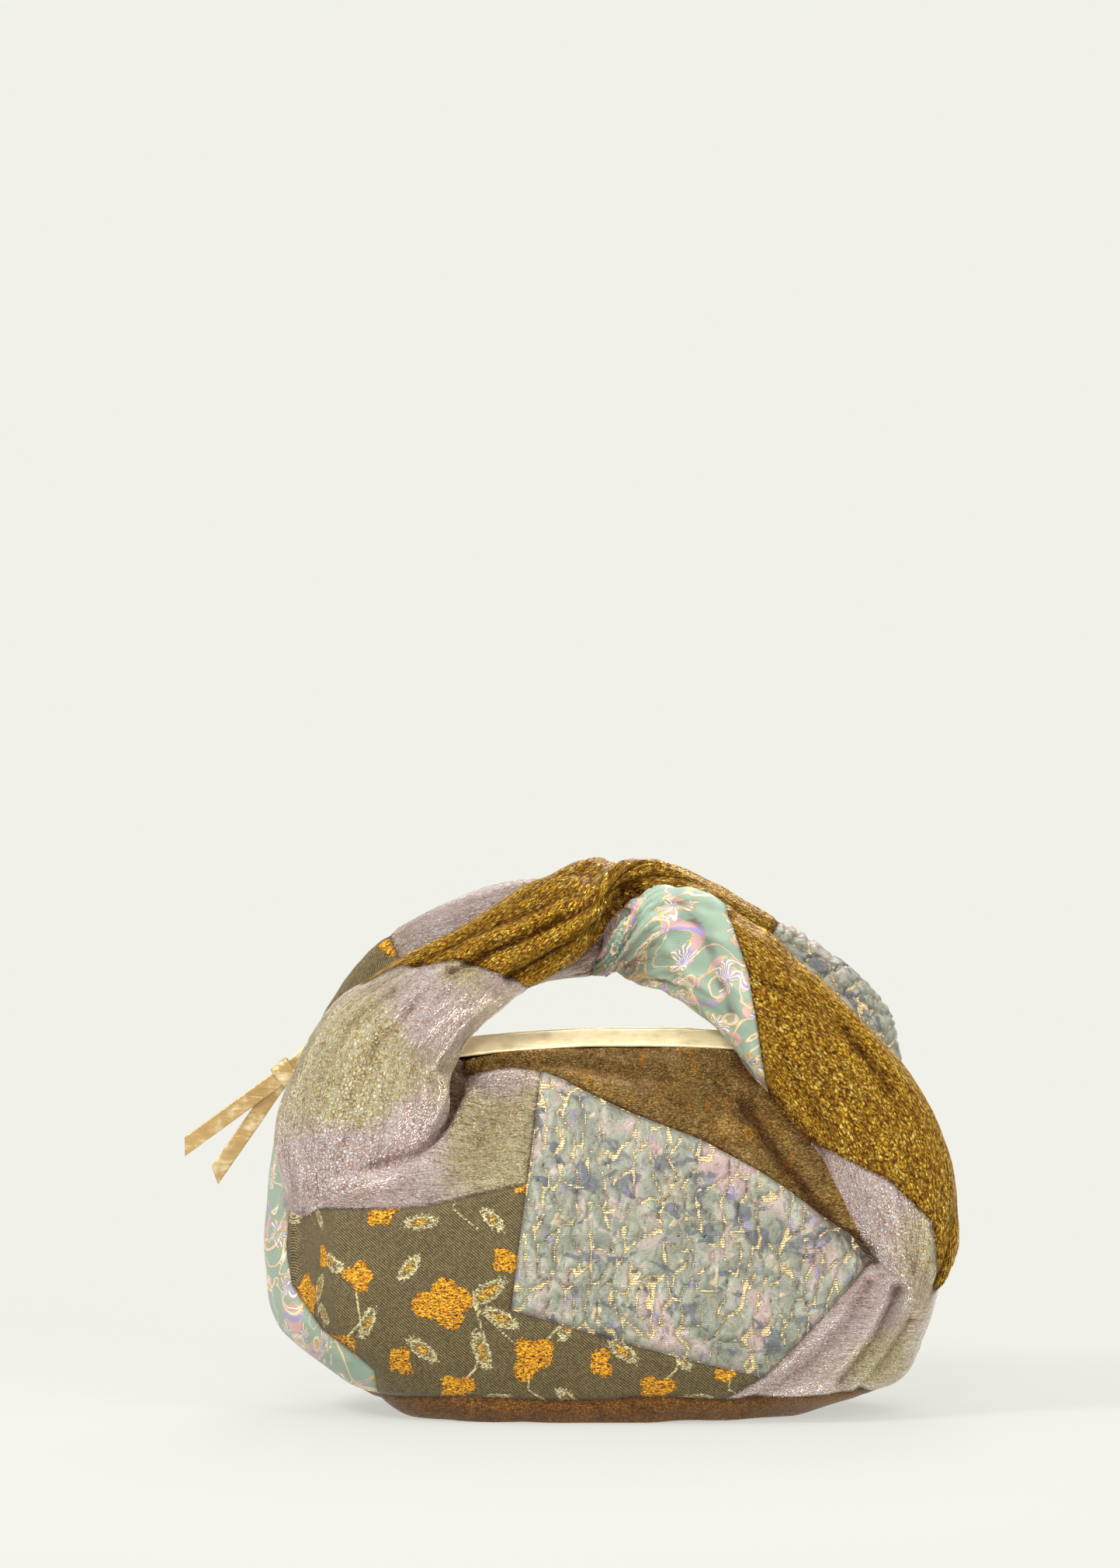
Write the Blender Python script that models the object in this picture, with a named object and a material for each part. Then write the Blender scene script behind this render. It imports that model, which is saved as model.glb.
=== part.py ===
"""Top handle bag: a soft pouch with a zip, under a handle of two padded straps that turn round each other.

Metres, +Z up. The bag stands on its flat base at z = 0, its front faces -Y, and +X is to the viewer's
right. The handle is the feature that takes the most skill: each strap keeps its own section all the way
from its root on the pouch, through the half turn, to its root on the other side and the other end.
"""

import bmesh
import bpy
import numpy as np
from math import asin, cos, pi, radians, sin
from mathutils import Matrix, Vector

# Clearances
SEAM_GAP = 0.0005      # between cloth pieces that are sewn edge to edge
SEAT_GAP = 0.0003      # between a piece and what it rests on
BAND_GAP = 0.0007      # at the seam round the base, where the cloth turns under
LINING_GAP = 0.0030    # the lining hangs loose inside the panels
STRAP_GAP = 0.0020     # between the two padded straps, which only press on each other
RUN_GAP = 0.0004       # round the slider, which runs on the zip

# Pouch: half widths and half depths of its plan at seven heights, and how square each plan is
BASE_HALF_WIDTH, BASE_HALF_DEPTH = 0.079, 0.041
FOOT_HEIGHT, FOOT_HALF_WIDTH, FOOT_HALF_DEPTH = 0.0115, 0.1065, 0.0520
LOW_HEIGHT, LOW_HALF_WIDTH, LOW_HALF_DEPTH = 0.036, 0.1300, 0.0560
BELLY_HEIGHT, BELLY_HALF_WIDTH, BELLY_HALF_DEPTH = 0.070, 0.1365, 0.0550
CHEST_HEIGHT, CHEST_HALF_WIDTH, CHEST_HALF_DEPTH = 0.106, 0.1350, 0.0470
SHOULDER_HEIGHT, SHOULDER_HALF_WIDTH, SHOULDER_HALF_DEPTH = 0.132, 0.1290, 0.0310
MOUTH_HEIGHT, MOUTH_HALF_WIDTH, MOUTH_HALF_DEPTH = 0.1465, 0.1180, 0.0140
BASE_SQUARE, BELLY_SQUARE, MOUTH_SQUARE = 3.0, 2.6, 4.0
FOOT_SIDEWAYS, LOW_SIDEWAYS = 0.0040, 0.0010   # the soft foot sags to the right
EAR_OUT, EAR_HEIGHT, EAR_REACH = 0.0045, 0.017, 0.009   # the gathered corner at the lower right
CLOTH = 0.0020         # panel: outer fabric with its backing
BASE_BAND_HEIGHT = 0.0105
GUSSET_LOW_ANGLE, GUSSET_HIGH_ANGLE = radians(40), radians(15)
PANEL_ROWS = 16

# Folds of the front cloth: a deep tuck under the left root, and gathers at the two lower corners
TUCK_X, TUCK_Z, TUCK_DEPTH, TUCK_LENGTH, TUCK_WIDTH = -0.062, 0.119, 0.0085, 0.017, 0.0075
TUCK_SLANT = radians(48)
GATHER_DEPTH, GATHER_REACH, GATHER_COUNT = 0.0011, 0.040, 7
GATHER_RIGHT_X, GATHER_RIGHT_Z = 0.112, 0.030

# Inside
LINING = 0.0008
BOARD, BOARD_MARGIN = 0.0016, 0.008

# Zip: it follows an arc in the XZ plane, and its height is that of the middle of the teeth
ZIP_RADIUS, ZIP_PEAK_X, ZIP_PEAK_Z = 0.55, 0.0115, 0.1500
ZIP_LEFT_X, ZIP_RIGHT_X = -0.1105, 0.1030
TOOTH_HEIGHT, TOOTH_LENGTH, TOOTH_PITCH = 0.0024, 0.0021, 0.0046
ROW_GAP, TOOTH_REACH, SPINE = 0.0016, 0.0012, 0.0010
TAPE, TAPE_WIDTH, TAPE_END = 0.0006, 0.0100, 0.0070
FACING, FACING_INNER_HALF = 0.0012, 0.0054
TAPE_CLEAR = 0.0008    # between the tape and the facing sewn over it
FACING_BEAD = 0.0009   # radius of the rolled edge
STOP_LENGTH, STOP_HEIGHT, STOP_WIDTH = 0.0022, 0.0028, 0.0024
TAB_LENGTH, TAB_HALF_WIDTH, TAB = 0.0052, 0.0072, 0.0014

# Slider, ring and leather pull
SLIDER_LENGTH, SLIDER_HALF_WIDTH, SLIDER_PLATE = 0.0110, 0.0043, 0.0010
SLIDER_NOSE_HALF_WIDTH, SLIDER_POST = 0.0030, 0.0008
SLIDER_START_X, SLIDER_END_X = -0.1035, 0.0950
BRIDGE_WIDTH, BRIDGE_WALL, BRIDGE_HALF_SPAN = 0.0022, 0.0009, 0.0024
PIVOT_BACK, PIVOT_RISE = 0.0020, 0.0022
RING_WIRE, RING_HALF_WIDTH, RING_LENGTH = 0.00055, 0.0040, 0.0058
RING_ANGLE = radians(14)
LACE_WIDTH, LACE = 0.0062, 0.0010
KEEPER_X, KEEPER_Z, KEEPER_LENGTH, KEEPER_WALL = -0.1268, 0.1349, 0.0078, 0.0008
LOOP_TOP_X, LOOP_TOP_Z = -0.1102, 0.1474
TAIL_LENGTH, TAIL_A_ANGLE, TAIL_B_ANGLE = 0.0500, radians(36), radians(55)

# Handle: the line that both straps share, in the XZ plane, from the left root to the right root
HANDLE_LINE = [
    (-0.0980, 0.080), (-0.0965, 0.105), (-0.0915, 0.1290), (-0.0830, 0.1500), (-0.0680, 0.1690),
    (-0.0470, 0.1835), (-0.0240, 0.1930), (0.0000, 0.1970), (0.0240, 0.1950), (0.0460, 0.1850),
    (0.0660, 0.1680), (0.0830, 0.1465), (0.0970, 0.1210), (0.1065, 0.0950), (0.1110, 0.0690),
    (0.1110, 0.0440),
]
TURN_X, TURN_REACH = 0.0040, 0.0120   # where the straps cross over, and how quickly
STATION_LENGTH, STATION_TURN = 0.0105, radians(11)
# Per point of the line: half width and half thickness of the section, its distance from the line, and
# how far the strap is shifted away from the middle of the arch
STRAP_A = [
    (0.0270, 0.0070, 0.0280, 0.002), (0.0320, 0.0125, 0.0310, 0.002), (0.0320, 0.0145, 0.0285, 0.000),
    (0.0270, 0.0140, 0.0230, 0.000), (0.0205, 0.0125, 0.0188, -0.004), (0.0172, 0.0118, 0.0125, -0.005),
    (0.0180, 0.0118, 0.0100, -0.003), (0.0195, 0.0118, 0.0095, 0.000), (0.0185, 0.0115, 0.0100, 0.000),
    (0.0178, 0.0115, 0.0130, 0.001), (0.0190, 0.0122, 0.0188, 0.006), (0.0210, 0.0130, 0.0235, 0.011),
    (0.0225, 0.0125, 0.0285, 0.005), (0.0205, 0.0095, 0.0320, 0.003), (0.0180, 0.0060, 0.0300, -0.002),
    (0.0150, 0.0040, 0.0240, 0.000),
]
STRAP_B = [
    (0.0180, 0.0050, 0.0260, 0.002), (0.0230, 0.0085, 0.0310, 0.003), (0.0260, 0.0115, 0.0285, 0.003),
    (0.0255, 0.0125, 0.0235, 0.005), (0.0235, 0.0122, 0.0190, 0.006), (0.0215, 0.0118, 0.0130, 0.004),
    (0.0205, 0.0118, 0.0105, 0.002), (0.0200, 0.0125, 0.0100, 0.000), (0.0210, 0.0128, 0.0105, -0.001),
    (0.0210, 0.0128, 0.0135, -0.002), (0.0210, 0.0130, 0.0195, -0.003), (0.0235, 0.0135, 0.0240, -0.002),
    (0.0265, 0.0135, 0.0285, 0.001), (0.0275, 0.0130, 0.0320, 0.003), (0.0245, 0.0110, 0.0320, 0.003),
    (0.0190, 0.0070, 0.0270, 0.000),
]

COLOURS = {
    "brocade": (0.30, 0.24, 0.13), "jacquard": (0.30, 0.42, 0.37), "twill": (0.19, 0.16, 0.07),
    "lame_gold": (0.42, 0.24, 0.05), "lame_pink": (0.60, 0.45, 0.42), "gold_leather": (0.72, 0.50, 0.18),
    "lining_cloth": (0.35, 0.27, 0.15), "board": (0.20, 0.16, 0.12), "tape_cloth": (0.12, 0.09, 0.04),
    "gold_metal": (0.80, 0.58, 0.22),
}


def clear_scene():
    for obj in list(bpy.data.objects):
        bpy.data.objects.remove(obj, do_unlink=True)


def material(name, roughness, metallic):
    found = bpy.data.materials.get(name)
    if found:
        return found
    made = bpy.data.materials.new(name)
    made.use_nodes = True
    shader = made.node_tree.nodes["Principled BSDF"]
    shader.inputs["Base Color"].default_value = (*COLOURS[name], 1.0)
    shader.inputs["Roughness"].default_value = roughness
    shader.inputs["Metallic"].default_value = metallic
    return made


def in_collection(obj, name="TopHandleBag"):
    group = bpy.data.collections.get(name)
    if group is None:
        group = bpy.data.collections.new(name)
        bpy.context.scene.collection.children.link(group)
    group.objects.link(obj)
    return obj


def solid(name, points, faces, finish, smooth=True):
    mesh = bpy.data.meshes.new(name)
    mesh.from_pydata([tuple(p) for p in points], [], faces)
    shape = bmesh.new()
    shape.from_mesh(mesh)
    bmesh.ops.recalc_face_normals(shape, faces=shape.faces)
    shape.to_mesh(mesh)
    shape.free()
    obj = in_collection(bpy.data.objects.new(name, mesh))
    obj.data.materials.append(finish)
    if smooth:
        mesh.shade_smooth()
    return obj


def helper(obj):
    """Moves a cutter out of the part's collection and hides it."""
    for group in list(obj.users_collection):
        group.objects.unlink(obj)
    in_collection(obj, "Cutters")
    obj.hide_render = True
    obj.display_type = "WIRE"
    return obj


def boolean(obj, other, operation):
    step = obj.modifiers.new(operation.title(), "BOOLEAN")
    step.operation, step.solver, step.object = operation, "EXACT", other
    return step


def tube_faces(rings, count, closed_ends=True):
    """Faces between rings of count points each, in order, with flat ends."""
    faces = []
    for r in range(rings - 1):
        a, b = r * count, (r + 1) * count
        faces += [(a + i, a + (i + 1) % count, b + (i + 1) % count, b + i) for i in range(count)]
    if closed_ends:
        faces += [tuple(reversed(range(count))), tuple(range((rings - 1) * count, rings * count))]
    return faces


def split(quad):
    """A quad as two triangles, always along the same diagonal, so that offset copies match."""
    a, b, c, d = quad
    return [(a, b, c), (a, c, d)]


def spline(values, where):
    """Smooth values between the given ones, which stand at 0, 1, 2 and so on (Catmull-Rom)."""
    values = np.asarray(values, float)
    where = np.clip(np.asarray(where, float), 0, len(values) - 1)
    left = np.minimum(where.astype(int), len(values) - 2)
    part = (where - left)[..., None]
    padded = np.concatenate([[2 * values[0] - values[1]], values, [2 * values[-1] - values[-2]]])
    p0, p1, p2, p3 = (padded[left + k] for k in range(4))
    return 0.5 * (2 * p1 + (p2 - p0) * part + (2 * p0 - 5 * p1 + 4 * p2 - p3) * part**2
                  + (3 * p1 - p0 - 3 * p2 + p3) * part**3)


def smoothstep(x):
    x = np.clip(x, 0, 1)
    return x * x * (3 - 2 * x)


# The zip's arc

def zip_drop(x):
    """How far the zip's arc lies under its peak at x."""
    return ZIP_RADIUS - np.sqrt(ZIP_RADIUS**2 - (np.asarray(x, float) - ZIP_PEAK_X) ** 2)


def zip_angle(x):
    return asin((x - ZIP_PEAK_X) / ZIP_RADIUS)


def on_zip(angle, y, rise):
    """World points at an angle along the zip, a depth y and a height above the middle of the teeth."""
    angle, y, rise = np.broadcast_arrays(angle, y, rise)
    reach = ZIP_RADIUS + rise
    x, z = ZIP_PEAK_X + reach * np.sin(angle), ZIP_PEAK_Z - ZIP_RADIUS + reach * np.cos(angle)
    return np.stack([x, y, z], -1)


# The pouch

def plan_at(height):
    """Half width, half depth, squareness and sideways shift of the plan at a height, before the arch."""
    heights = [0, FOOT_HEIGHT, LOW_HEIGHT, BELLY_HEIGHT, CHEST_HEIGHT, SHOULDER_HEIGHT, MOUTH_HEIGHT]
    plans = [
        (BASE_HALF_WIDTH, BASE_HALF_DEPTH, BASE_SQUARE, 0),
        (FOOT_HALF_WIDTH, FOOT_HALF_DEPTH, BASE_SQUARE, FOOT_SIDEWAYS),
        (LOW_HALF_WIDTH, LOW_HALF_DEPTH, BASE_SQUARE, LOW_SIDEWAYS),
        (BELLY_HALF_WIDTH, BELLY_HALF_DEPTH, BELLY_SQUARE, 0),
        (CHEST_HALF_WIDTH, CHEST_HALF_DEPTH, BELLY_SQUARE, 0),
        (SHOULDER_HALF_WIDTH, SHOULDER_HALF_DEPTH, BELLY_SQUARE, 0),
        (MOUTH_HALF_WIDTH, MOUTH_HALF_DEPTH, MOUTH_SQUARE, 0),
    ]
    return spline(plans, np.interp(height, heights, range(len(heights))))


def folds(x, z):
    """How far the front cloth is pushed back by the tuck and the gathers."""
    along = (x - TUCK_X) * cos(TUCK_SLANT) + (z - TUCK_Z) * sin(TUCK_SLANT)
    across = -(x - TUCK_X) * sin(TUCK_SLANT) + (z - TUCK_Z) * cos(TUCK_SLANT)
    tuck = TUCK_DEPTH * np.exp(-((along / TUCK_LENGTH) ** 2) - (across / TUCK_WIDTH) ** 2)
    away = np.hypot(x - GATHER_RIGHT_X, z - GATHER_RIGHT_Z)
    turn = np.arctan2(z - GATHER_RIGHT_Z, x - GATHER_RIGHT_X)
    share = away / GATHER_REACH
    ripple = GATHER_DEPTH * np.cos(GATHER_COUNT * turn) * share * np.exp(1 - share**2)
    fade = smoothstep((z - FOOT_HEIGHT) / FOOT_HEIGHT)
    return tuck + ripple * fade


def outer_point(turn, height, grow=0.0):
    """Points of the pouch's outer face: turn is the angle in plan, height the level before the arch."""
    turn, height = np.broadcast_arrays(np.asarray(turn, float), np.asarray(height, float))
    plan = plan_at(height)
    half_width, half_depth, square = plan[..., 0] + grow, plan[..., 1] + grow, plan[..., 2]
    c, s = np.cos(turn), np.sin(turn)
    reach = (np.abs(c) ** square + np.abs(s) ** square) ** (-1 / square)
    ear = EAR_OUT * np.exp(-(((height - EAR_HEIGHT) / EAR_REACH) ** 2)) * smoothstep(c)
    x, y = half_width * c * reach + plan[..., 3] + ear, half_depth * s * reach
    arch = np.clip(height / MOUTH_HEIGHT, 0, None) ** 1.5
    z = height - zip_drop(x) * arch
    y = y + folds(x, z) * smoothstep(-y / BASE_HALF_DEPTH * 2)
    return np.stack([x, y, z], -1)


def normal_at(turn, height):
    step_t, step_h = 1e-3, 2e-4
    low = np.maximum(height - step_h, 0)
    across = outer_point(turn + step_t, height) - outer_point(turn - step_t, height)
    up = outer_point(turn, np.minimum(height + step_h, MOUTH_HEIGHT)) - outer_point(turn, low)
    normal = np.cross(across, up)
    return normal / np.maximum(np.linalg.norm(normal, axis=-1, keepdims=True), 1e-12)


def skin(turn, height, inset):
    """The pouch's face moved inwards along its normal."""
    turn, height = np.broadcast_arrays(np.asarray(turn, float), np.asarray(height, float))
    return outer_point(turn, height) - inset * normal_at(turn, height)


def gusset_half_angle(height):
    share = np.clip((height - BASE_BAND_HEIGHT) / (MOUTH_HEIGHT - BASE_BAND_HEIGHT), 0, 1)
    return GUSSET_LOW_ANGLE + (GUSSET_HIGH_ANGLE - GUSSET_LOW_ANGLE) * share


def seam_step(turn, height):
    """The change of angle that moves a seam by half a gap along the cloth."""
    speed = np.linalg.norm(outer_point(turn + 5e-4, height) - outer_point(turn - 5e-4, height), axis=-1) / 1e-3
    return SEAM_GAP / 2 / speed


def panel_heights():
    low = BASE_BAND_HEIGHT + BAND_GAP
    return low + (MOUTH_HEIGHT - low) * np.linspace(0, 1, PANEL_ROWS)


def panel_turns(panel, heights):
    """The angles of a panel's columns at each height, between its two seams."""
    first, last = panel["from"](heights), panel["to"](heights)
    first, last = first + seam_step(first, heights), last - seam_step(last, heights)
    share = np.linspace(0, 1, panel["columns"])[None, :]
    return first[:, None] * (1 - share) + last[:, None] * share


def make_panel(panel):
    """One curved panel, from the base band to the mouth."""
    heights, columns, rows = panel_heights(), panel["columns"], PANEL_ROWS
    turn = panel_turns(panel, heights)
    level = heights[:, None] + 0 * turn
    outer, inner = skin(turn, level, 0.0).reshape(-1, 3), skin(turn, level, CLOTH).reshape(-1, 3)
    count = rows * columns

    def at(r, c):
        return r * columns + c

    faces = []
    for r in range(rows - 1):
        for c in range(columns - 1):
            for half in split((at(r, c), at(r, c + 1), at(r + 1, c + 1), at(r + 1, c))):
                faces += [half, tuple(i + count for i in reversed(half))]
    rim = [at(0, c) for c in range(columns)] + [at(r, columns - 1) for r in range(1, rows)]
    rim += [at(rows - 1, c) for c in reversed(range(columns - 1))]
    rim += [at(r, 0) for r in reversed(range(1, rows - 1))]
    faces += [(b, a, a + count, b + count) for a, b in zip(rim, rim[1:] + rim[:1])]
    return solid(panel["name"], np.concatenate([outer, inner]), faces, material(*panel["finish"]))


def panels():
    half = gusset_half_angle
    cloth, gold, jacquard = ("brocade", 0.55, 0.3), ("lame_gold", 0.45, 0.6), ("jacquard", 0.6, 0.1)
    return [
        {"name": "right_gusset", "from": lambda h: -half(h), "to": half, "columns": 7, "finish": jacquard},
        {"name": "back_panel", "from": half, "to": lambda h: pi - half(h), "columns": 19, "finish": gold},
        {"name": "left_gusset", "from": lambda h: pi - half(h), "to": lambda h: pi + half(h), "columns": 7,
         "finish": jacquard},
        {"name": "front_panel", "from": lambda h: pi + half(h), "to": lambda h: 2 * pi - half(h), "columns": 37,
         "finish": cloth},
    ]


def bowl(name, profile, columns, finish):
    """A closed bowl: rings of points from the middle of the inside, over the rim, to the middle outside."""
    turn = np.linspace(0, 2 * pi, columns, endpoint=False)
    rings = [ring(turn) for ring in profile]
    inside, outside = rings[0].mean(axis=0), rings[-1].mean(axis=0)
    points = np.concatenate(rings + [[inside], [outside]])
    faces = [tuple(reversed(f)) for f in tube_faces(len(rings), columns, closed_ends=False)]
    middle, last = len(rings) * columns, (len(rings) - 1) * columns
    faces += [(middle, i, (i + 1) % columns) for i in range(columns)]
    faces += [(middle + 1, last + (i + 1) % columns, last + i) for i in range(columns)]
    return solid(name, points, faces, finish)


def flat_ring(share, z):
    """A ring of the base's plan, at a share of its size."""
    def ring(turn):
        points = outer_point(turn, 0.0) * (share, share, 0)
        points[:, 2] = z
        return points
    return ring


def skin_ring(height, inset, floor=0.0):
    def ring(turn):
        points = skin(turn, height, inset)
        points[:, 2] = np.maximum(points[:, 2], floor)
        return points
    return ring


def make_base():
    levels = np.linspace(0.0012, BASE_BAND_HEIGHT, 4)
    inside = [flat_ring(0.5, CLOTH), flat_ring(0.93, CLOTH)]
    inside += [skin_ring(h, CLOTH, CLOTH) for h in levels[1:]]
    outside = [skin_ring(h, 0.0) for h in reversed(levels)] + [flat_ring(1.0, 0.0), flat_ring(0.5, 0.0)]
    bowl("base_panel", inside + outside, 48, material("lame_gold", 0.45, 0.6))


def make_inside():
    floor = CLOTH + SEAT_GAP
    turn = np.linspace(0, 2 * pi, 48, endpoint=False)
    shrink = 1 - BOARD_MARGIN / BASE_HALF_DEPTH
    rings = [flat_ring(shrink, floor)(turn), flat_ring(shrink, floor + BOARD)(turn)]
    solid("base_board", np.concatenate(rings), tube_faces(2, 48), material("board", 0.8, 0.0), smooth=False)
    outset = CLOTH + LINING_GAP
    bed = floor + BOARD + SEAT_GAP
    top = MOUTH_HEIGHT - 0.004
    heights = np.concatenate([[0.007], np.linspace(0.014, top, 7)])
    inside = [flat_ring(0.5, bed + LINING), flat_ring(0.85, bed + LINING)]
    inside += [skin_ring(h, outset + LINING, bed + LINING) for h in heights]
    outside = [skin_ring(h, outset, bed) for h in reversed(heights)]
    outside += [flat_ring(0.85, bed), flat_ring(0.5, bed)]
    bowl("lining", inside + outside, 40, material("lining_cloth", 0.7, 0.0))


def make_envelope():
    """The pouch with its facings as one closed block, a seat gap larger, that cuts the straps' undersides."""
    heights = panel_heights()
    turns = np.concatenate([panel_turns(panel, heights) for panel in panels()], axis=1)
    rings = [skin(turns[0], h, -SEAT_GAP) - (0, 0, SEAT_GAP if h == 0 else 0) for h in (0.0, FOOT_HEIGHT / 2)]
    rings += [skin(turn, h, -SEAT_GAP) for turn, h in zip(turns, heights)]
    rings.append(rings[-1] + (0, 0, SEAM_GAP + FACING + SEAT_GAP))
    ridge = outer_point(turns[-1], MOUTH_HEIGHT)
    ridge[:, 1] = np.clip(ridge[:, 1], -FACING_INNER_HALF, FACING_INNER_HALF)
    ridge[:, 2] = ZIP_PEAK_Z - zip_drop(ridge[:, 0]) + FACING + 3 * FACING_BEAD + SEAT_GAP
    rings.append(ridge)
    quads = tube_faces(len(rings), turns.shape[1])
    points, faces = np.concatenate(rings), [half for quad in quads[:-2] for half in split(quad)] + quads[-2:]
    return helper(solid("pouch_envelope", points, faces, material("board", 0.8, 0.0)))


# The handle

def strap_frames(where):
    """Point, tangent and outward direction of the handle's line at the given places."""
    points = spline(HANDLE_LINE, where)
    ahead = spline(HANDLE_LINE, where + 0.01) - spline(HANDLE_LINE, where - 0.01)
    ahead /= np.linalg.norm(ahead, axis=-1, keepdims=True)
    outward = np.stack([-ahead[:, 1], ahead[:, 0]], -1)
    return points, outward


def turned_by(x):
    """How far the pair has turned at x: nothing at the left roots, half a turn at the right ones."""
    full = np.arctan(-HANDLE_LINE[0][0] / TURN_REACH)
    return pi * np.clip(0.5 + 0.5 * np.arctan((x - TURN_X) / TURN_REACH) / full, 0, 1)


def strap_stations():
    """Places along the line, closer together where the pair turns."""
    fine = np.linspace(0, len(HANDLE_LINE) - 1, 1500)
    points, _ = strap_frames(fine)
    step = np.linalg.norm(np.diff(points, axis=0), axis=1) / STATION_LENGTH
    step += np.abs(np.diff(turned_by(points[:, 0]))) / STATION_TURN
    total = np.concatenate([[0], np.cumsum(step)])
    return np.interp(np.linspace(0, total[-1], int(total[-1]) + 1), total, fine)


def strap_rings(sizes, side, where, count):
    """Rings of one strap. side is 0 for the strap that starts at the front and pi for the other."""
    points, outward = strap_frames(where)
    half_width, half_thick, distance, shift = spline(sizes, where).T
    phase = turned_by(points[:, 0]) + side
    around = np.linspace(0, 2 * pi, count, endpoint=False)
    power = 2 / 2.3
    c, s = np.cos(around), np.sin(around)
    section = np.stack([np.sign(c) * np.abs(c) ** power, np.sign(s) * np.abs(s) ** power], -1)
    rings = []
    for k, angle in enumerate(phase):
        wide = section[:, 0] * half_width[k]
        deep = distance[k] + section[:, 1] * half_thick[k]
        deep = np.maximum(deep, STRAP_GAP / 2)
        # Across the pair, y runs to the front and up runs out of the arch
        front = deep * cos(angle) - wide * sin(angle)
        up = deep * sin(angle) + wide * cos(angle) + shift[k]
        x = points[k, 0] + up * outward[k, 0]
        z = points[k, 1] + up * outward[k, 1]
        rings.append(np.stack([x, -front, z], -1))
    return rings


def make_strap(name, sizes, side, finish, envelope):
    count = 14
    rings = strap_rings(sizes, side, strap_stations(), count)
    faces = tube_faces(len(rings), count)
    strap = solid(name, np.concatenate(rings), faces, finish)
    boolean(strap, envelope, "DIFFERENCE")
    return strap


def make_handle(envelope):
    make_strap("handle_strap_a", STRAP_A, 0.0, material("lame_gold", 0.45, 0.6), envelope)
    make_strap("handle_strap_b", STRAP_B, pi, material("lame_pink", 0.4, 0.6), envelope)


# The zip

def along_zip(name, left_x, right_x, section, steps, finish, side):
    """A strip along the zip's arc. section(x) gives (depth, rise) pairs for the front side."""
    angles = np.linspace(zip_angle(left_x), zip_angle(right_x), steps)
    rings = []
    for angle in angles:
        shape = np.array(section(ZIP_PEAK_X + ZIP_RADIUS * sin(angle)))
        rings.append(on_zip(angle, side * shape[:, 0], shape[:, 1]))
    faces = tube_faces(len(rings), len(rings[0]))
    if side > 0:
        faces = [tuple(reversed(f)) for f in faces]
    return solid(name, np.concatenate(rings), faces, finish)


def mouth_edge(x):
    """Half depth and rise over the zip's arc of the pouch's mouth at x."""
    share = min(abs(x) / MOUTH_HALF_WIDTH, 0.995)
    depth = MOUTH_HALF_DEPTH * (1 - share**MOUTH_SQUARE) ** (1 / MOUTH_SQUARE)
    return depth, MOUTH_HEIGHT - ZIP_PEAK_Z


def facing_section(x):
    """Leather from the mouth's edge up and in to a rolled edge beside the teeth."""
    depth, rise = mouth_edge(x)
    inner, top = FACING_INNER_HALF, TAPE / 2 + TAPE_CLEAR
    outer = max(depth - CLOTH / 2, inner + 3 * FACING_BEAD)
    low = rise + SEAM_GAP
    roll = 2 * FACING_BEAD
    return [
        (outer, low), (outer, low + FACING), (inner + roll, top + roll),
        (inner + FACING_BEAD, top + roll + FACING_BEAD / 2),
        (inner, top + FACING_BEAD), (inner + FACING_BEAD / 2, top), (inner + roll, top),
    ]


def teeth_row(name, side):
    """One row of teeth on a spine, as one comb, joined to its tape."""
    first, last = zip_angle(ZIP_LEFT_X + STOP_LENGTH), zip_angle(ZIP_RIGHT_X - STOP_LENGTH)
    pitch, length = TOOTH_PITCH / ZIP_RADIUS, TOOTH_LENGTH / ZIP_RADIUS
    tip, root = ROW_GAP / 2, ROW_GAP / 2 + TOOTH_REACH
    start = first + (pitch / 4 if side > 0 else 3 * pitch / 4)
    starts = np.arange(start, last - length, pitch)
    stations = np.concatenate([[first], np.stack([starts, starts + length], 1).ravel(), [last]])
    half = TOOTH_HEIGHT / 2
    spine = np.array([(root, -half), (root + SPINE, -half), (root + SPINE, half), (root, half)])
    points = [on_zip(angle, side * spine[:, 0], spine[:, 1]) for angle in stations]
    faces = [(0, 1, 2, 3), tuple(4 * len(stations) - 4 + i for i in (3, 2, 1, 0))]
    tips = []
    for k in range(len(stations) - 1):
        a, b = 4 * k, 4 * (k + 1)
        faces += [(a + i, a + i + 1, b + i + 1, b + i) for i in range(3)]
        if k % 2 == 0:
            faces.append((a + 3, a, b, b + 3))
            continue
        t = 4 * len(stations) + 4 * len(tips)
        tips.append(on_zip(stations[[k, k, k + 1, k + 1]], side * tip, np.array([-half, half, half, -half])))
        faces += [(a, b, t + 3, t), (a + 3, t + 1, t + 2, b + 3), (a + 3, a, t, t + 1)]
        faces += [(b, b + 3, t + 2, t + 3), (t, t + 3, t + 2, t + 1)]
    comb = solid(name, np.concatenate(points + tips), faces, material("gold_metal", 0.3, 1.0), smooth=False)
    inner = root + SPINE / 2

    def tape(x):
        low, bend = facing_section(x)[0], facing_section(x)[-1]
        share = min((TAPE_WIDTH - bend[0]) / (low[0] - bend[0]), 0.8)
        outer = (bend[0] + share * (low[0] - bend[0]), share * (low[1] - bend[1]))
        half = TAPE / 2
        return [(inner, -half), (bend[0], -half), (outer[0], outer[1] - half), (outer[0], outer[1] + half),
                (bend[0], half), (inner, half)]

    cloth = along_zip(name + "_tape", ZIP_LEFT_X + TAPE_END, ZIP_RIGHT_X - TAPE_END, tape,
                      25, material("tape_cloth", 0.8, 0.0), side)
    boolean(comb, helper(cloth), "UNION")
    return comb


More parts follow.
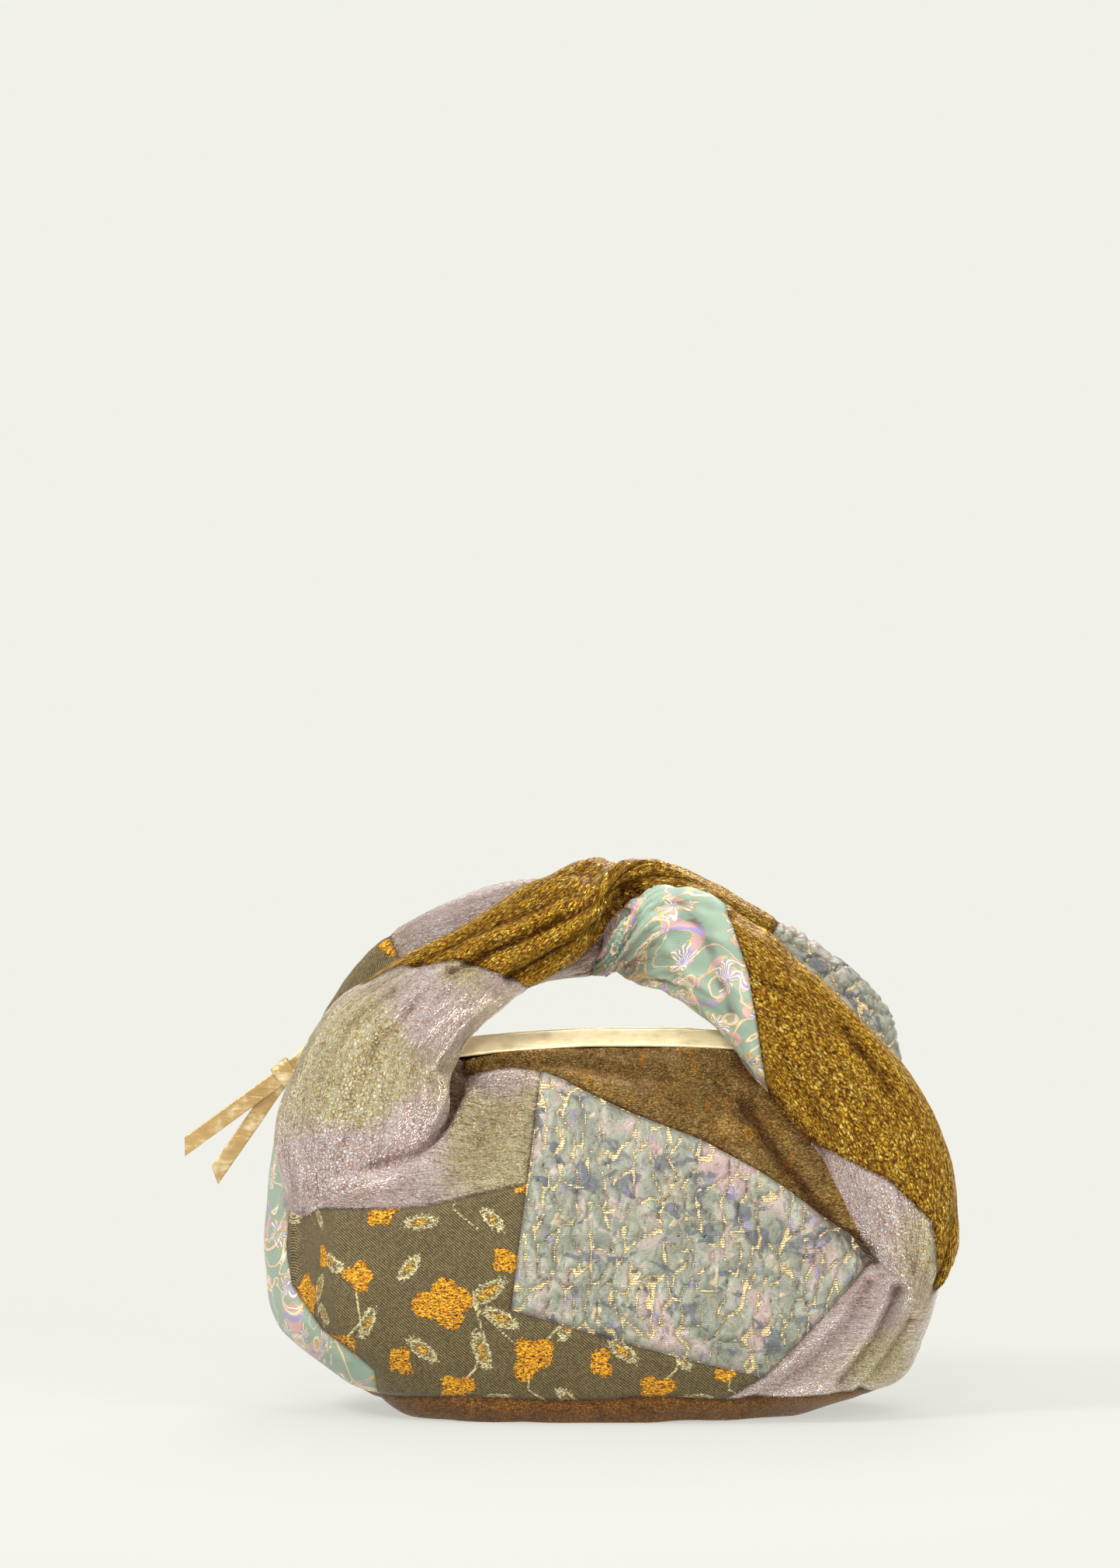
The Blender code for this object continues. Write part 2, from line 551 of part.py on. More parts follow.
def block_on_zip(name, angle, back, ahead, inner, outer, low, high, finish, side=1.0):
    """A small block on the zip's arc, given by its ends along the arc, its depths and its heights."""
    corners = [(-back, inner, low), (ahead, inner, low), (ahead, outer, low), (-back, outer, low)]
    corners += [(a, b, high) for a, b, _ in corners]
    shape = np.array(corners)
    points = on_zip(angle + shape[:, 0] / ZIP_RADIUS, side * shape[:, 1], shape[:, 2])
    faces = [(3, 2, 1, 0), (4, 5, 6, 7), (0, 1, 5, 4), (1, 2, 6, 5), (2, 3, 7, 6), (3, 0, 4, 7)]
    if side < 0:
        faces = [tuple(reversed(f)) for f in faces]
    return solid(name, points, faces, finish, smooth=False)


def end_tab(name, x_inner, away):
    """The leather tab that closes the slit beyond the zip's end. away is -1 at the left and 1 at the right."""
    rise = MOUTH_HEIGHT - ZIP_PEAK_Z + CLOTH / 2
    outline = []
    for k in range(9):
        a = -pi / 2 + pi * k / 8
        x = x_inner + away * TAB_LENGTH * max(cos(a), 0.0) ** 0.6
        outline.append((zip_angle(x), TAB_HALF_WIDTH * sin(a)))
    angles, depths = np.array(outline).T
    low, high = (on_zip(angles, depths, r) for r in (rise, rise + TAB))
    n = len(outline)
    faces = [(i, (i + 1) % n, n + (i + 1) % n, n + i) for i in range(n)]
    faces += [tuple(reversed(range(n))), tuple(range(n, 2 * n))]
    if away < 0:
        faces = [tuple(reversed(f)) for f in faces]
    return solid(name, np.concatenate([low, high]), faces, material("gold_leather", 0.35, 0.7), smooth=False)


def make_zip():
    leather, metal = material("gold_leather", 0.35, 0.7), material("gold_metal", 0.3, 1.0)
    for name, side in (("zip_facing_front", -1.0), ("zip_facing_back", 1.0)):
        along_zip(name, ZIP_LEFT_X, ZIP_RIGHT_X, facing_section, 33, leather, side)
    for name, side in (("zip_row_front", -1.0), ("zip_row_back", 1.0)):
        teeth_row(name, side)
    inner = ROW_GAP / 2
    for name, side in (("left_stop_front", -1.0), ("left_stop_back", 1.0)):
        block_on_zip(name, zip_angle(ZIP_LEFT_X), 0, STOP_LENGTH - SEAT_GAP, inner, inner + STOP_WIDTH,
                     -STOP_HEIGHT / 2, STOP_HEIGHT / 2, metal, side)
    block_on_zip("right_stop", zip_angle(ZIP_RIGHT_X), STOP_LENGTH - SEAT_GAP, 0, -STOP_WIDTH - inner,
                 STOP_WIDTH + inner, -STOP_HEIGHT / 2, STOP_HEIGHT / 2, metal)
    end_tab("end_tab_left", ZIP_LEFT_X - SEAT_GAP, -1)
    end_tab("end_tab_right", ZIP_RIGHT_X + SEAT_GAP, 1)


# The slider and its pull

def zip_matrix(x):
    """A frame on the zip at x: local X runs along the zip, local Z out of it."""
    angle = zip_angle(x)
    place = on_zip(angle, 0.0, 0.0)
    return Matrix.Translation(Vector(place)) @ Matrix.Rotation(angle, 4, "Y")


def prism(name, outline, low, high, finish):
    n = len(outline)
    points = [(x, y, low) for x, y in outline] + [(x, y, high) for x, y in outline]
    faces = [(i, (i + 1) % n, n + (i + 1) % n, n + i) for i in range(n)]
    faces += [tuple(reversed(range(n))), tuple(range(n, 2 * n))]
    return solid(name, points, faces, finish, smooth=False)


def slider_plate(name, low, high, metal):
    half, wide, nose = SLIDER_LENGTH / 2, SLIDER_HALF_WIDTH, SLIDER_NOSE_HALF_WIDTH
    outline = [(-half, -nose), (-half + 0.0012, -nose - 0.0006), (0.0, -wide)]
    outline += [(half - 0.001, -wide), (half, -wide + 0.001)]
    outline += [(x, -y) for x, y in reversed(outline)]
    return prism(name, outline, low, high, metal)


def make_slider():
    metal = material("gold_metal", 0.3, 1.0)
    place = zip_matrix(SLIDER_START_X)
    under = TOOTH_HEIGHT / 2 + RUN_GAP
    top = under + SLIDER_PLATE
    slider = slider_plate("slider", under, top, metal)
    lower = slider_plate("slider_lower", -top, -under, metal)
    half = SLIDER_LENGTH / 2
    post = prism("slider_post", [(-half + 0.0005, -SLIDER_POST / 2), (half - 0.002, -SLIDER_POST / 2),
                                 (half - 0.002, SLIDER_POST / 2), (-half + 0.0005, SLIDER_POST / 2)],
                 -top + SLIDER_PLATE / 2, top - SLIDER_PLATE / 2, metal)
    crown = top + PIVOT_RISE + RING_WIRE + RUN_GAP + BRIDGE_WALL
    middle, span = -PIVOT_BACK, BRIDGE_HALF_SPAN
    foot = top - SLIDER_PLATE / 2
    bridge = [(-span, foot), (-span, crown - 0.0014), (-span + 0.0009, crown), (span - 0.0009, crown)]
    bridge += [(span, crown - 0.0014), (span, top - SLIDER_PLATE / 2)]
    hole = crown - BRIDGE_WALL
    room = span - BRIDGE_WALL
    bridge += [(room, foot), (room, hole - 0.0008), (room - 0.0005, hole)]
    bridge += [(-room + 0.0005, hole), (-room, hole - 0.0008), (-room, foot)]
    arch = prism("slider_bridge", bridge, -BRIDGE_WIDTH / 2, BRIDGE_WIDTH / 2, metal)
    arch.matrix_world = place @ Matrix.Translation((middle, 0, 0)) @ Matrix.Rotation(pi / 2, 4, "X")
    for piece in (slider, lower, post):
        piece.matrix_world = place
    for piece in (lower, post, arch):
        boolean(slider, helper(piece), "UNION")
    return slider


def pivot_matrix():
    """The pull's hinge: in the bridge's opening, its axis along Y."""
    rise = TOOTH_HEIGHT / 2 + RUN_GAP + SLIDER_PLATE + PIVOT_RISE
    return zip_matrix(SLIDER_START_X) @ Matrix.Translation((-PIVOT_BACK, 0, rise))


def make_ring():
    """A wire loop through the bridge, its far bar carrying the lace."""
    curve = bpy.data.curves.new("pull_ring", "CURVE")
    curve.dimensions, curve.bevel_depth, curve.bevel_resolution = "3D", RING_WIRE, 2
    line = curve.splines.new("POLY")
    corner = 0.0008
    half, long = RING_HALF_WIDTH, RING_LENGTH
    centres = [(-corner, half - corner, pi / 2), (-long + corner, half - corner, pi),
               (-long + corner, -half + corner, 3 * pi / 2), (-corner, -half + corner, 2 * pi)]
    points = []
    for x, y, end in centres:
        angles = [end - pi / 2 + pi / 2 * k / 3 for k in range(4)]
        points += [(x + corner * cos(angle), y + corner * sin(angle)) for angle in angles]
    line.points.add(len(points) - 1)
    for slot, (x, y) in zip(line.points, points):
        slot.co = (x, y, 0, 1)
    line.use_cyclic_u = True
    ring = in_collection(bpy.data.objects.new("pull_ring", curve))
    curve.materials.append(material("gold_metal", 0.3, 1.0))
    ring.matrix_world = pivot_matrix() @ Matrix.Rotation(-RING_ANGLE, 4, "Y")
    return ring


def far_bar():
    """Where the ring's far bar runs, in world X and Z."""
    place = pivot_matrix() @ Matrix.Rotation(-RING_ANGLE, 4, "Y") @ Vector((-RING_LENGTH, 0, 0))
    return np.array([place.x, place.z])


def lace_line():
    """The lace's middle line in X and Z, its depth, and its turn from flat across to facing the front."""
    bar, keeper = far_bar(), np.array([KEEPER_X, KEEPER_Z])
    wrap = RING_WIRE + RUN_GAP + LACE / 2
    lift = LACE / 2 + SEAT_GAP / 2
    tail_a = keeper + TAIL_LENGTH * np.array([-cos(TAIL_A_ANGLE), -sin(TAIL_A_ANGLE)])
    tail_b = keeper + TAIL_LENGTH * np.array([-cos(TAIL_B_ANGLE), -sin(TAIL_B_ANGLE)])
    stations = [(tail_a, -lift, 1.0), (keeper + (tail_a - keeper) * 0.5, -lift * 1.4, 1.0),
                (keeper + (tail_a - keeper) * 0.12, -lift, 1.0), (keeper + (0.0040, 0.0032), -lift, 1.0)]
    stations += [(np.array([LOOP_TOP_X - 0.0060, LOOP_TOP_Z - 0.0024]), -lift, 0.7),
                 (np.array([LOOP_TOP_X, LOOP_TOP_Z]), -lift / 2, 0.25)]
    for angle in (40, -10, -60, -110, -150):
        a = radians(angle)
        stations.append((bar + wrap * np.array([cos(a), sin(a)]), 0.0, 0.0))
    stations += [(bar + (-0.0055, -0.0010), lift / 2, -0.35), (keeper + (0.0040, 0.0028), lift, -1.0),
                 (keeper + (tail_b - keeper) * 0.12, lift, -1.0),
                 (keeper + (tail_b - keeper) * 0.5, lift * 1.4, -1.0), (tail_b, lift, -1.0)]
    return np.array([(p[0], y, p[1], turn) for p, y, turn in stations])


def make_lace():
    line = lace_line()
    where = np.linspace(0, len(line) - 1, 3 * (len(line) - 1) + 1)
    data = spline(line, where)
    path, turn = data[:, :3], np.clip(data[:, 3], -1, 1) * pi / 2
    ahead = np.gradient(path, axis=0)
    ahead[:, 1] = 0
    ahead /= np.linalg.norm(ahead, axis=1, keepdims=True)
    across = np.array([0.0, 1.0, 0.0])
    rings = []
    for p, t, a in zip(path, ahead, turn):
        flat = np.cross(t, across)
        wide = cos(a) * across + sin(a) * flat
        thick = np.cross(t, wide)
        half, slim = LACE_WIDTH / 2, LACE / 2
        rings.append([p + u * half * wide + v * slim * thick for u, v in ((-1, -1), (1, -1), (1, 1), (-1, 1))])
    points = np.array(rings).reshape(-1, 3)
    return solid("pull_strap", points, tube_faces(len(rings), 4), material("gold_leather", 0.35, 0.7))


def make_keeper():
    """The leather band round both strands."""
    gap = SEAT_GAP
    leather = material("gold_leather", 0.35, 0.7)
    half_across, half_deep = LACE_WIDTH / 2 + gap + 0.0010, LACE + gap * 1.5 + 0.0012
    wall = KEEPER_WALL

    def frame(across, deep):
        chamfer = 0.0005
        flat, edge = across - chamfer, deep - chamfer
        return [(-flat, -deep), (flat, -deep), (across, -edge), (across, edge),
                (flat, deep), (-flat, deep), (-across, edge), (-across, -edge)]

    half = KEEPER_LENGTH / 2
    band = prism("pull_keeper", frame(half_across + wall, half_deep + wall), -half, half, leather)
    bore = helper(prism("pull_keeper_bore", frame(half_across, half_deep), -2 * half, 2 * half, leather))
    slope = (TAIL_A_ANGLE + TAIL_B_ANGLE) / 2 - radians(6)
    place = Matrix.Translation((KEEPER_X, 0, KEEPER_Z)) @ Matrix.Rotation(pi / 2 - slope, 4, "Y")
    band.matrix_world = bore.matrix_world = place
    boolean(band, bore, "DIFFERENCE")
    return band


def parent_to(child, empty):
    bpy.context.view_layer.update()
    keep = child.matrix_world.copy()
    child.parent = empty
    child.matrix_parent_inverse = empty.matrix_world.inverted()
    child.matrix_world = keep


def make_moving():
    """The slider turns about the centre of the zip's arc, and the pull about the bridge."""
    arc = in_collection(bpy.data.objects.new("slider_travel", None))
    arc.location = (ZIP_PEAK_X, 0, ZIP_PEAK_Z - ZIP_RADIUS)
    hinge = in_collection(bpy.data.objects.new("pull_hinge", None))
    hinge.location = pivot_matrix().translation
    bpy.context.view_layer.update()
    parent_to(make_slider(), arc)
    parent_to(hinge, arc)
    for piece in (make_ring(), make_lace(), make_keeper()):
        parent_to(piece, hinge)


def main():
    clear_scene()
    for panel in panels():
        make_panel(panel)
    make_base()
    make_inside()
    make_handle(make_envelope())
    make_zip()
    make_moving()


main()
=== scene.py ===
"""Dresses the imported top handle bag: sewn cloth patches, twisted padded handle, leather-edged zip and pull."""

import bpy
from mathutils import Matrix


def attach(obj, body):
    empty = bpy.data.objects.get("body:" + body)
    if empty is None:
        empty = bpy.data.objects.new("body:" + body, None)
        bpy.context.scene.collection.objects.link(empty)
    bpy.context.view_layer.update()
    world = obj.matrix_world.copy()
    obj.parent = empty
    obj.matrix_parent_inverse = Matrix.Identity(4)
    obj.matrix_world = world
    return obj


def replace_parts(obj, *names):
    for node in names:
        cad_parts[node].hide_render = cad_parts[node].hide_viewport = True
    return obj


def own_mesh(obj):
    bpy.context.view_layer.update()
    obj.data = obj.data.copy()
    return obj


bl_info = {
    "name": "Top handle bag dressing",
    "version": (1, 0, 0),
    "blender": (4, 5, 0),
    "location": "3D View > Sidebar > Bag",
    "description": "Adds cloth, leather and metal finishes to the packed top handle bag",
    "category": "Object",
}

from math import asin, cos, pi, radians, sin

import bpy
import numpy as np
from bpy.props import FloatProperty, FloatVectorProperty, IntProperty, PointerProperty
from mathutils import Vector
from mathutils.bvhtree import BVHTree

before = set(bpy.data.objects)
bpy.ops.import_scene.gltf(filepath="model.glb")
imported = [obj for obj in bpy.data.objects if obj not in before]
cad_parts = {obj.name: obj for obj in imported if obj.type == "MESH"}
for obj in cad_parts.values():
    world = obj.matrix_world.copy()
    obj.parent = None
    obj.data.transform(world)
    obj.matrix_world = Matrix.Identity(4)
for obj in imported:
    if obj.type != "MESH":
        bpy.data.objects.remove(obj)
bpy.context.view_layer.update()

# The pouch, the zip's arc and the handle, as in the part's source
BASE_HALF_WIDTH, BASE_HALF_DEPTH = 0.079, 0.041
PLAN_HEIGHTS = [0, 0.0115, 0.036, 0.070, 0.106, 0.132, 0.1465]
PLANS = [
    (BASE_HALF_WIDTH, BASE_HALF_DEPTH, 3.0, 0), (0.1065, 0.0520, 3.0, 0.004), (0.1300, 0.0560, 3.0, 0.001),
    (0.1365, 0.0550, 2.6, 0), (0.1350, 0.0470, 2.6, 0), (0.1290, 0.0310, 2.6, 0), (0.1180, 0.0140, 4.0, 0),
]
EAR_OUT, EAR_HEIGHT, EAR_REACH = 0.0045, 0.017, 0.009
MOUTH_HEIGHT, BASE_BAND_HEIGHT = 0.1465, 0.0105
TUCK_X, TUCK_Z, TUCK_DEPTH, TUCK_LENGTH, TUCK_WIDTH = -0.062, 0.119, 0.0085, 0.017, 0.0075
TUCK_SLANT = radians(48)
ZIP_RADIUS, ZIP_PEAK_X, ZIP_PEAK_Z = 0.55, 0.0115, 0.1500
HANDLE_LINE = [
    (-0.0980, 0.080), (-0.0965, 0.105), (-0.0915, 0.1290), (-0.0830, 0.1500), (-0.0680, 0.1690),
    (-0.0470, 0.1835), (-0.0240, 0.1930), (0.0000, 0.1970), (0.0240, 0.1950), (0.0460, 0.1850),
    (0.0660, 0.1680), (0.0830, 0.1465), (0.0970, 0.1210), (0.1065, 0.0950), (0.1110, 0.0690),
    (0.1110, 0.0440),
]
TURN_X, TURN_REACH = 0.0040, 0.0120
STRAP_A = [
    (0.0270, 0.0070, 0.0280, 0.002), (0.0320, 0.0125, 0.0310, 0.002), (0.0320, 0.0145, 0.0285, 0.000),
    (0.0270, 0.0140, 0.0230, 0.000), (0.0205, 0.0125, 0.0188, -0.004), (0.0172, 0.0118, 0.0125, -0.005),
    (0.0180, 0.0118, 0.0100, -0.003), (0.0195, 0.0118, 0.0095, 0.000), (0.0185, 0.0115, 0.0100, 0.000),
    (0.0178, 0.0115, 0.0130, 0.001), (0.0190, 0.0122, 0.0188, 0.006), (0.0210, 0.0130, 0.0235, 0.011),
    (0.0225, 0.0125, 0.0285, 0.005), (0.0205, 0.0095, 0.0320, 0.003), (0.0180, 0.0060, 0.0300, -0.002),
    (0.0150, 0.0040, 0.0240, 0.000),
]
STRAP_B = [
    (0.0180, 0.0050, 0.0260, 0.002), (0.0230, 0.0085, 0.0310, 0.003), (0.0260, 0.0115, 0.0285, 0.003),
    (0.0255, 0.0125, 0.0235, 0.005), (0.0235, 0.0122, 0.0190, 0.006), (0.0215, 0.0118, 0.0130, 0.004),
    (0.0205, 0.0118, 0.0105, 0.002), (0.0200, 0.0125, 0.0100, 0.000), (0.0210, 0.0128, 0.0105, -0.001),
    (0.0210, 0.0128, 0.0135, -0.002), (0.0210, 0.0130, 0.0195, -0.003), (0.0235, 0.0135, 0.0240, -0.002),
    (0.0265, 0.0135, 0.0285, 0.001), (0.0275, 0.0130, 0.0320, 0.003), (0.0245, 0.0110, 0.0320, 0.003),
    (0.0190, 0.0070, 0.0270, 0.000),
]
STRAP_PRESS = 0.0005     # how far the straps press into each other
SECTION_POWER = 2 / 2.3
POUCH_COUNT, POUCH_RINGS, POUCH_START = 260, 100, 0.0012

# Seams are drawn on the front view: steps of 0.31 mm to the right and down from this corner
STEP, CORNER_X, CORNER_Z = 0.00031, 778, 1817
FAR = 4000    # steps, well beyond the bag, where a strap's seam closes


def on_front(points):
    """X and Z in metres of points drawn on the front view."""
    return np.array([((x - CORNER_X) * STEP, (CORNER_Z - z) * STEP) for x, z in points])


BLUSH_BAND_EDGE = [(699, 1375), (662, 1369), (628, 1375), (598, 1372)]
TOP_BAND_EDGE = [(803, 1421), (910, 1462), (1003, 1515), (1091, 1575)]
OUTLINES = {
    # Straps: each line cuts the strap right round; the cloth named lies below it and to its right
    "petal": [(300, 1190), (470, 1262), (520, 1240), (600, 1233), (668, 1262), (800, 1330), (800, FAR), (-FAR, FAR),
              (-FAR, 1190)],
    "twill": [(470, 900), (495, 1200), (517, 1250), (560, 1420), (560, FAR), (-FAR, FAR), (-FAR, 900)],
    "blush": [(830, 900), (800, 1130), (760, 1260), (740, 1400), (740, FAR), (-FAR, FAR), (-FAR, 900)],
    "teal": [(880, 900), (929, 1154), (960, 1250), (976, 1349), (1000, 1500), (1000, FAR), (-FAR, FAR), (-FAR, 900)],
    "mustard": [(900, 1395), (1024, 1455), (1137, 1509), (1191, 1562), (1204, 1649), (1230, 1800), (1230, FAR),
                (-FAR, FAR), (-FAR, 1395)],
    "quilt": [(1060, 1090), (1010, 1180), (975, 1240), (930, 1400), (930, FAR), (FAR, FAR), (FAR, 1090)],
    # Pouch: its two ends, then the patches of its front
    "left": [(402, 1330), (395, 1400), (383, 1480), (375, 1545), (371, 1600), (380, 1645), (420, 1700), (488, 1752),
             (500, 1900), (-FAR, 1900), (-FAR, 1330)],
    "right": [(1160, 1330), (1170, 1480), (1176, 1560), (1170, 1640), (1130, 1720), (1070, 1760), (1060, 1900),
              (FAR, 1900), (FAR, 1330)],
    "blush_band": [(300, 1200), (300, 1535), (384, 1542), (468, 1547), (548, 1542), (682, 1512), *BLUSH_BAND_EDGE,
                   (590, 1200)],
    "top_band": [(590, 1200), *reversed(BLUSH_BAND_EDGE), *TOP_BAND_EDGE, (1180, 1660), (1300, 1600), (1300, 1200)],
    "quilt_patch": [BLUSH_BAND_EDGE[0], *TOP_BAND_EDGE, (1116, 1609), (1060, 1668), (977, 1756), (820, 1715),
                    (662, 1669)],
    "corner_patch": [(1116, 1612), (1300, 1640), (1300, 1900), (900, 1900), (930, 1785), (977, 1756), (1060, 1668)],
    # Back: a slanted quilted patch over twill, with a band of lame above it and a teal corner
    "back_top": [(300, 1200), (300, 1430), (560, 1395), (860, 1440), (1300, 1400), (1300, 1200)],
    "back_quilt": [(560, 1395), (860, 1440), (905, 1700), (600, 1740)],
    "back_teal": [(905, 1700), (860, 1440), (1300, 1400), (1300, 1900), (930, 1900)],
    "back_blush": [(300, 1600), (585, 1590), (600, 1740), (610, 1900), (300, 1900)],
}


def colour(r, g, b):
    """A colour of the photograph as Blender's linear values."""
    values = np.array([r, g, b]) / 255
    return tuple(np.where(values <= 0.04045, values / 12.92, ((values + 0.055) / 1.055) ** 2.4).tolist()) + (1.0,)


def tint(name, about, r, g, b):
    return FloatVectorProperty(name=name, description=about, subtype="COLOR", size=4, min=0, max=1,
                               default=colour(r, g, b))


class BagSizes(bpy.types.PropertyGroup):
    voxel: FloatProperty(name="Cloth mesh", description="Size of the cloth's mesh", default=0.0011, unit="LENGTH")
    slack: FloatProperty(name="Slack", description="Depth of the pouch's soft dents", default=0.0013, unit="LENGTH")
    gathers: FloatProperty(name="Gathers", description="Depth of the straps' lengthwise folds", default=0.0015,
                           unit="LENGTH")
    puffs: FloatProperty(name="Puffs", description="Height of the quilted puffs", default=0.0012, unit="LENGTH")
    groove: FloatProperty(name="Seam", description="Depth of the grooves along the seams", default=0.0006,
                          unit="LENGTH")
    seed: IntProperty(name="Seed", description="Seed of the folds", default=7)


class BagColours(bpy.types.PropertyGroup):
    blush: tint("Blush", "Pink metallic cloth", 255, 228, 212)
    pale_gold: tint("Pale gold", "Pale gold of the same cloth", 240, 216, 152)
    mustard: tint("Mustard", "Gold metallic cloth of the handle", 196, 140, 30)
    bronze: tint("Bronze", "Bronze cloth of the top and base bands", 162, 124, 66)
    twill: tint("Twill", "Ground of the olive twill", 86, 71, 34)
    blossom: tint("Blossom", "Orange blossoms", 222, 146, 12)
    sage: tint("Sage", "Ground of the teal jacquard", 132, 156, 138)
    quilt: tint("Quilt", "Ground of the quilted brocade", 150, 152, 134)
    leather: tint("Leather", "Metallic leather of the pull", 206, 172, 112)
    facing: tint("Facing", "Metallic leather of the facings", 254, 236, 190)
    metal: tint("Metal", "Zip's metal", 236, 190, 104)
    paper: tint("Backdrop", "Floor and backdrop", 241, 241, 233)


# Noise and curves

CELL_JITTER = 0.42    # how far a cell's seed may lie from the cell's middle


def smoothstep(x):
    x = np.clip(x, 0, 1)
    return x * x * (3 - 2 * x)


def bell(x):
    return np.exp(-np.square(x))


def corner_value(ix, iy, iz, seed):
    """A fixed random number between -1 and 1 for each whole place."""
    h = (ix * 374761393 + iy * 668265263 + iz * 362437 + seed * 144665) & 0xFFFFFFFF
    h = ((h ^ (h >> 13)) * 1274126177) & 0xFFFFFFFF
    return ((h ^ (h >> 16)) & 0xFFFFFF) / 0x7FFFFF - 1


def lumps(x, y, z, seed):
    """Smooth noise between -1 and 1, with lumps about one unit across."""
    q = np.stack(np.broadcast_arrays(x, y, z), -1).astype(float)
    base = np.floor(q).astype(np.int64)
    t = q - base
    t = t * t * (3 - 2 * t)
    total = 0.0
    for dx in (0, 1):
        for dy in (0, 1):
            for dz in (0, 1):
                weight = (t[..., 0] if dx else 1 - t[..., 0]) * (t[..., 1] if dy else 1 - t[..., 1])
                weight = weight * (t[..., 2] if dz else 1 - t[..., 2])
                total = total + weight * corner_value(base[..., 0] + dx, base[..., 1] + dy, base[..., 2] + dz, seed)
    return total


def cells(u, v, wide, high, seed):
    """Distance to the border between long cells of the given size, which stand in no order."""
    iu, iv = np.floor(u / wide).astype(np.int64), np.floor(v / high).astype(np.int64)
    best = [np.full(np.shape(u), 1e9), np.full(np.shape(u), 1e9)]
    seeds = [np.zeros(np.shape(u) + (2,)), np.zeros(np.shape(u) + (2,))]
    for du in (-1, 0, 1):
        for dv in (-1, 0, 1):
            cu, cv = iu + du, iv + dv
            su = cu + 0.5 + CELL_JITTER * corner_value(cu, cv, 0, seed)
            sv = cv + 0.5 + CELL_JITTER * corner_value(cu, cv, 1, seed)
            away = (u / wide - su) ** 2 + (v / high - sv) ** 2
            place = np.stack([su, sv], -1)
            first, second = away < best[0], away < best[1]
            best[1] = np.where(first, best[0], np.where(second, away, best[1]))
            seeds[1] = np.where(first[..., None], seeds[0], np.where(second[..., None], place, seeds[1]))
            best[0] = np.where(first, away, best[0])
            seeds[0] = np.where(first[..., None], place, seeds[0])
    slope = 2 * np.hypot(*np.moveaxis((seeds[1] - seeds[0]) / (wide, high), -1, 0))
    return (best[1] - best[0]) / np.maximum(slope, 1e-6)


def spline(values, where):
    """Smooth values between the given ones, which stand at 0, 1, 2 and so on (Catmull-Rom)."""
    values = np.asarray(values, float)
    where = np.clip(np.asarray(where, float), 0, len(values) - 1)
    left = np.minimum(where.astype(int), len(values) - 2)
    part = (where - left)[..., None]
    padded = np.concatenate([[2 * values[0] - values[1]], values, [2 * values[-1] - values[-2]]])
    p0, p1, p2, p3 = (padded[left + k] for k in range(4))
    return 0.5 * (2 * p1 + (p2 - p0) * part + (2 * p0 - 5 * p1 + 4 * p2 - p3) * part**2
                  + (3 * p1 - p0 - 3 * p2 + p3) * part**3)


def to_line(points, x, z, closed=False):
    """Distance to a line of points."""
    points = np.asarray(points, float)
    ends = np.roll(points, -1, axis=0) if closed else points[1:]
    best = np.full(np.shape(x), 1e9)
    for (ax, az), (bx, bz) in zip(points, ends):
        dx, dz = bx - ax, bz - az
        t = np.clip(((x - ax) * dx + (z - az) * dz) / (dx * dx + dz * dz + 1e-18), 0, 1)
        best = np.minimum(best, np.hypot(x - ax - t * dx, z - az - t * dz))
    return best


def outside(points, x, z):
    """Distance to a closed outline, negative inside it."""
    inside = np.zeros(np.shape(x), bool)
    for (ax, az), (bx, bz) in zip(points, np.roll(points, -1, axis=0)):
        crosses = (az > z) != (bz > z)
        inside ^= crosses & (x < (bx - ax) * (z - az) / (bz - az + 1e-18) + ax)
    return to_line(points, x, z, closed=True) * np.where(inside, -1, 1)


# The pouch and the straps as closed surfaces

def zip_drop(x):
    """How far the zip's arc lies below its peak."""
    return ZIP_RADIUS - np.sqrt(ZIP_RADIUS**2 - (np.asarray(x, float) - ZIP_PEAK_X) ** 2)


def plan_at(height):
    """The pouch's half width, half depth, squareness and shift to the side."""
    return spline(PLANS, np.interp(height, PLAN_HEIGHTS, range(len(PLAN_HEIGHTS))))


def tuck(x, z):
    """Depth of the dent where the left root folds into the front."""
    along = (x - TUCK_X) * cos(TUCK_SLANT) + (z - TUCK_Z) * sin(TUCK_SLANT)
    across = -(x - TUCK_X) * sin(TUCK_SLANT) + (z - TUCK_Z) * cos(TUCK_SLANT)
    return TUCK_DEPTH * bell(np.hypot(along / TUCK_LENGTH, across / TUCK_WIDTH))


def outer_point(turn, height):
    """A point on the pouch's outside, by its turn about the middle and its height at the zip's peak."""
    turn, height = np.broadcast_arrays(np.asarray(turn, float), np.asarray(height, float))
    half_width, half_depth, square, sideways = np.moveaxis(plan_at(height), -1, 0)
    c, s = np.cos(turn), np.sin(turn)
    reach = (np.abs(c) ** square + np.abs(s) ** square) ** (-1 / square)
    ear = EAR_OUT * bell((height - EAR_HEIGHT) / EAR_REACH) * smoothstep(c)
    x, y = half_width * c * reach + sideways + ear, half_depth * s * reach
    z = height - zip_drop(x) * np.clip(height / MOUTH_HEIGHT, 0, None) ** 1.5
    return np.stack([x, y + tuck(x, z) * smoothstep(-y / BASE_HALF_DEPTH * 2), z], -1)


def tube_faces(rings, count):
    """Faces of a closed tube with so many rings of so many points."""
    a = np.arange(rings - 1)[:, None] * count
    i = np.arange(count)[None, :]
    j = (i + 1) % count
    quads = np.stack([a + i, a + j, a + count + j, a + count + i], -1).reshape(-1, 4)
    ends = [tuple(reversed(range(count))), tuple(range((rings - 1) * count, rings * count))]
    return [tuple(q) for q in quads.tolist()] + ends


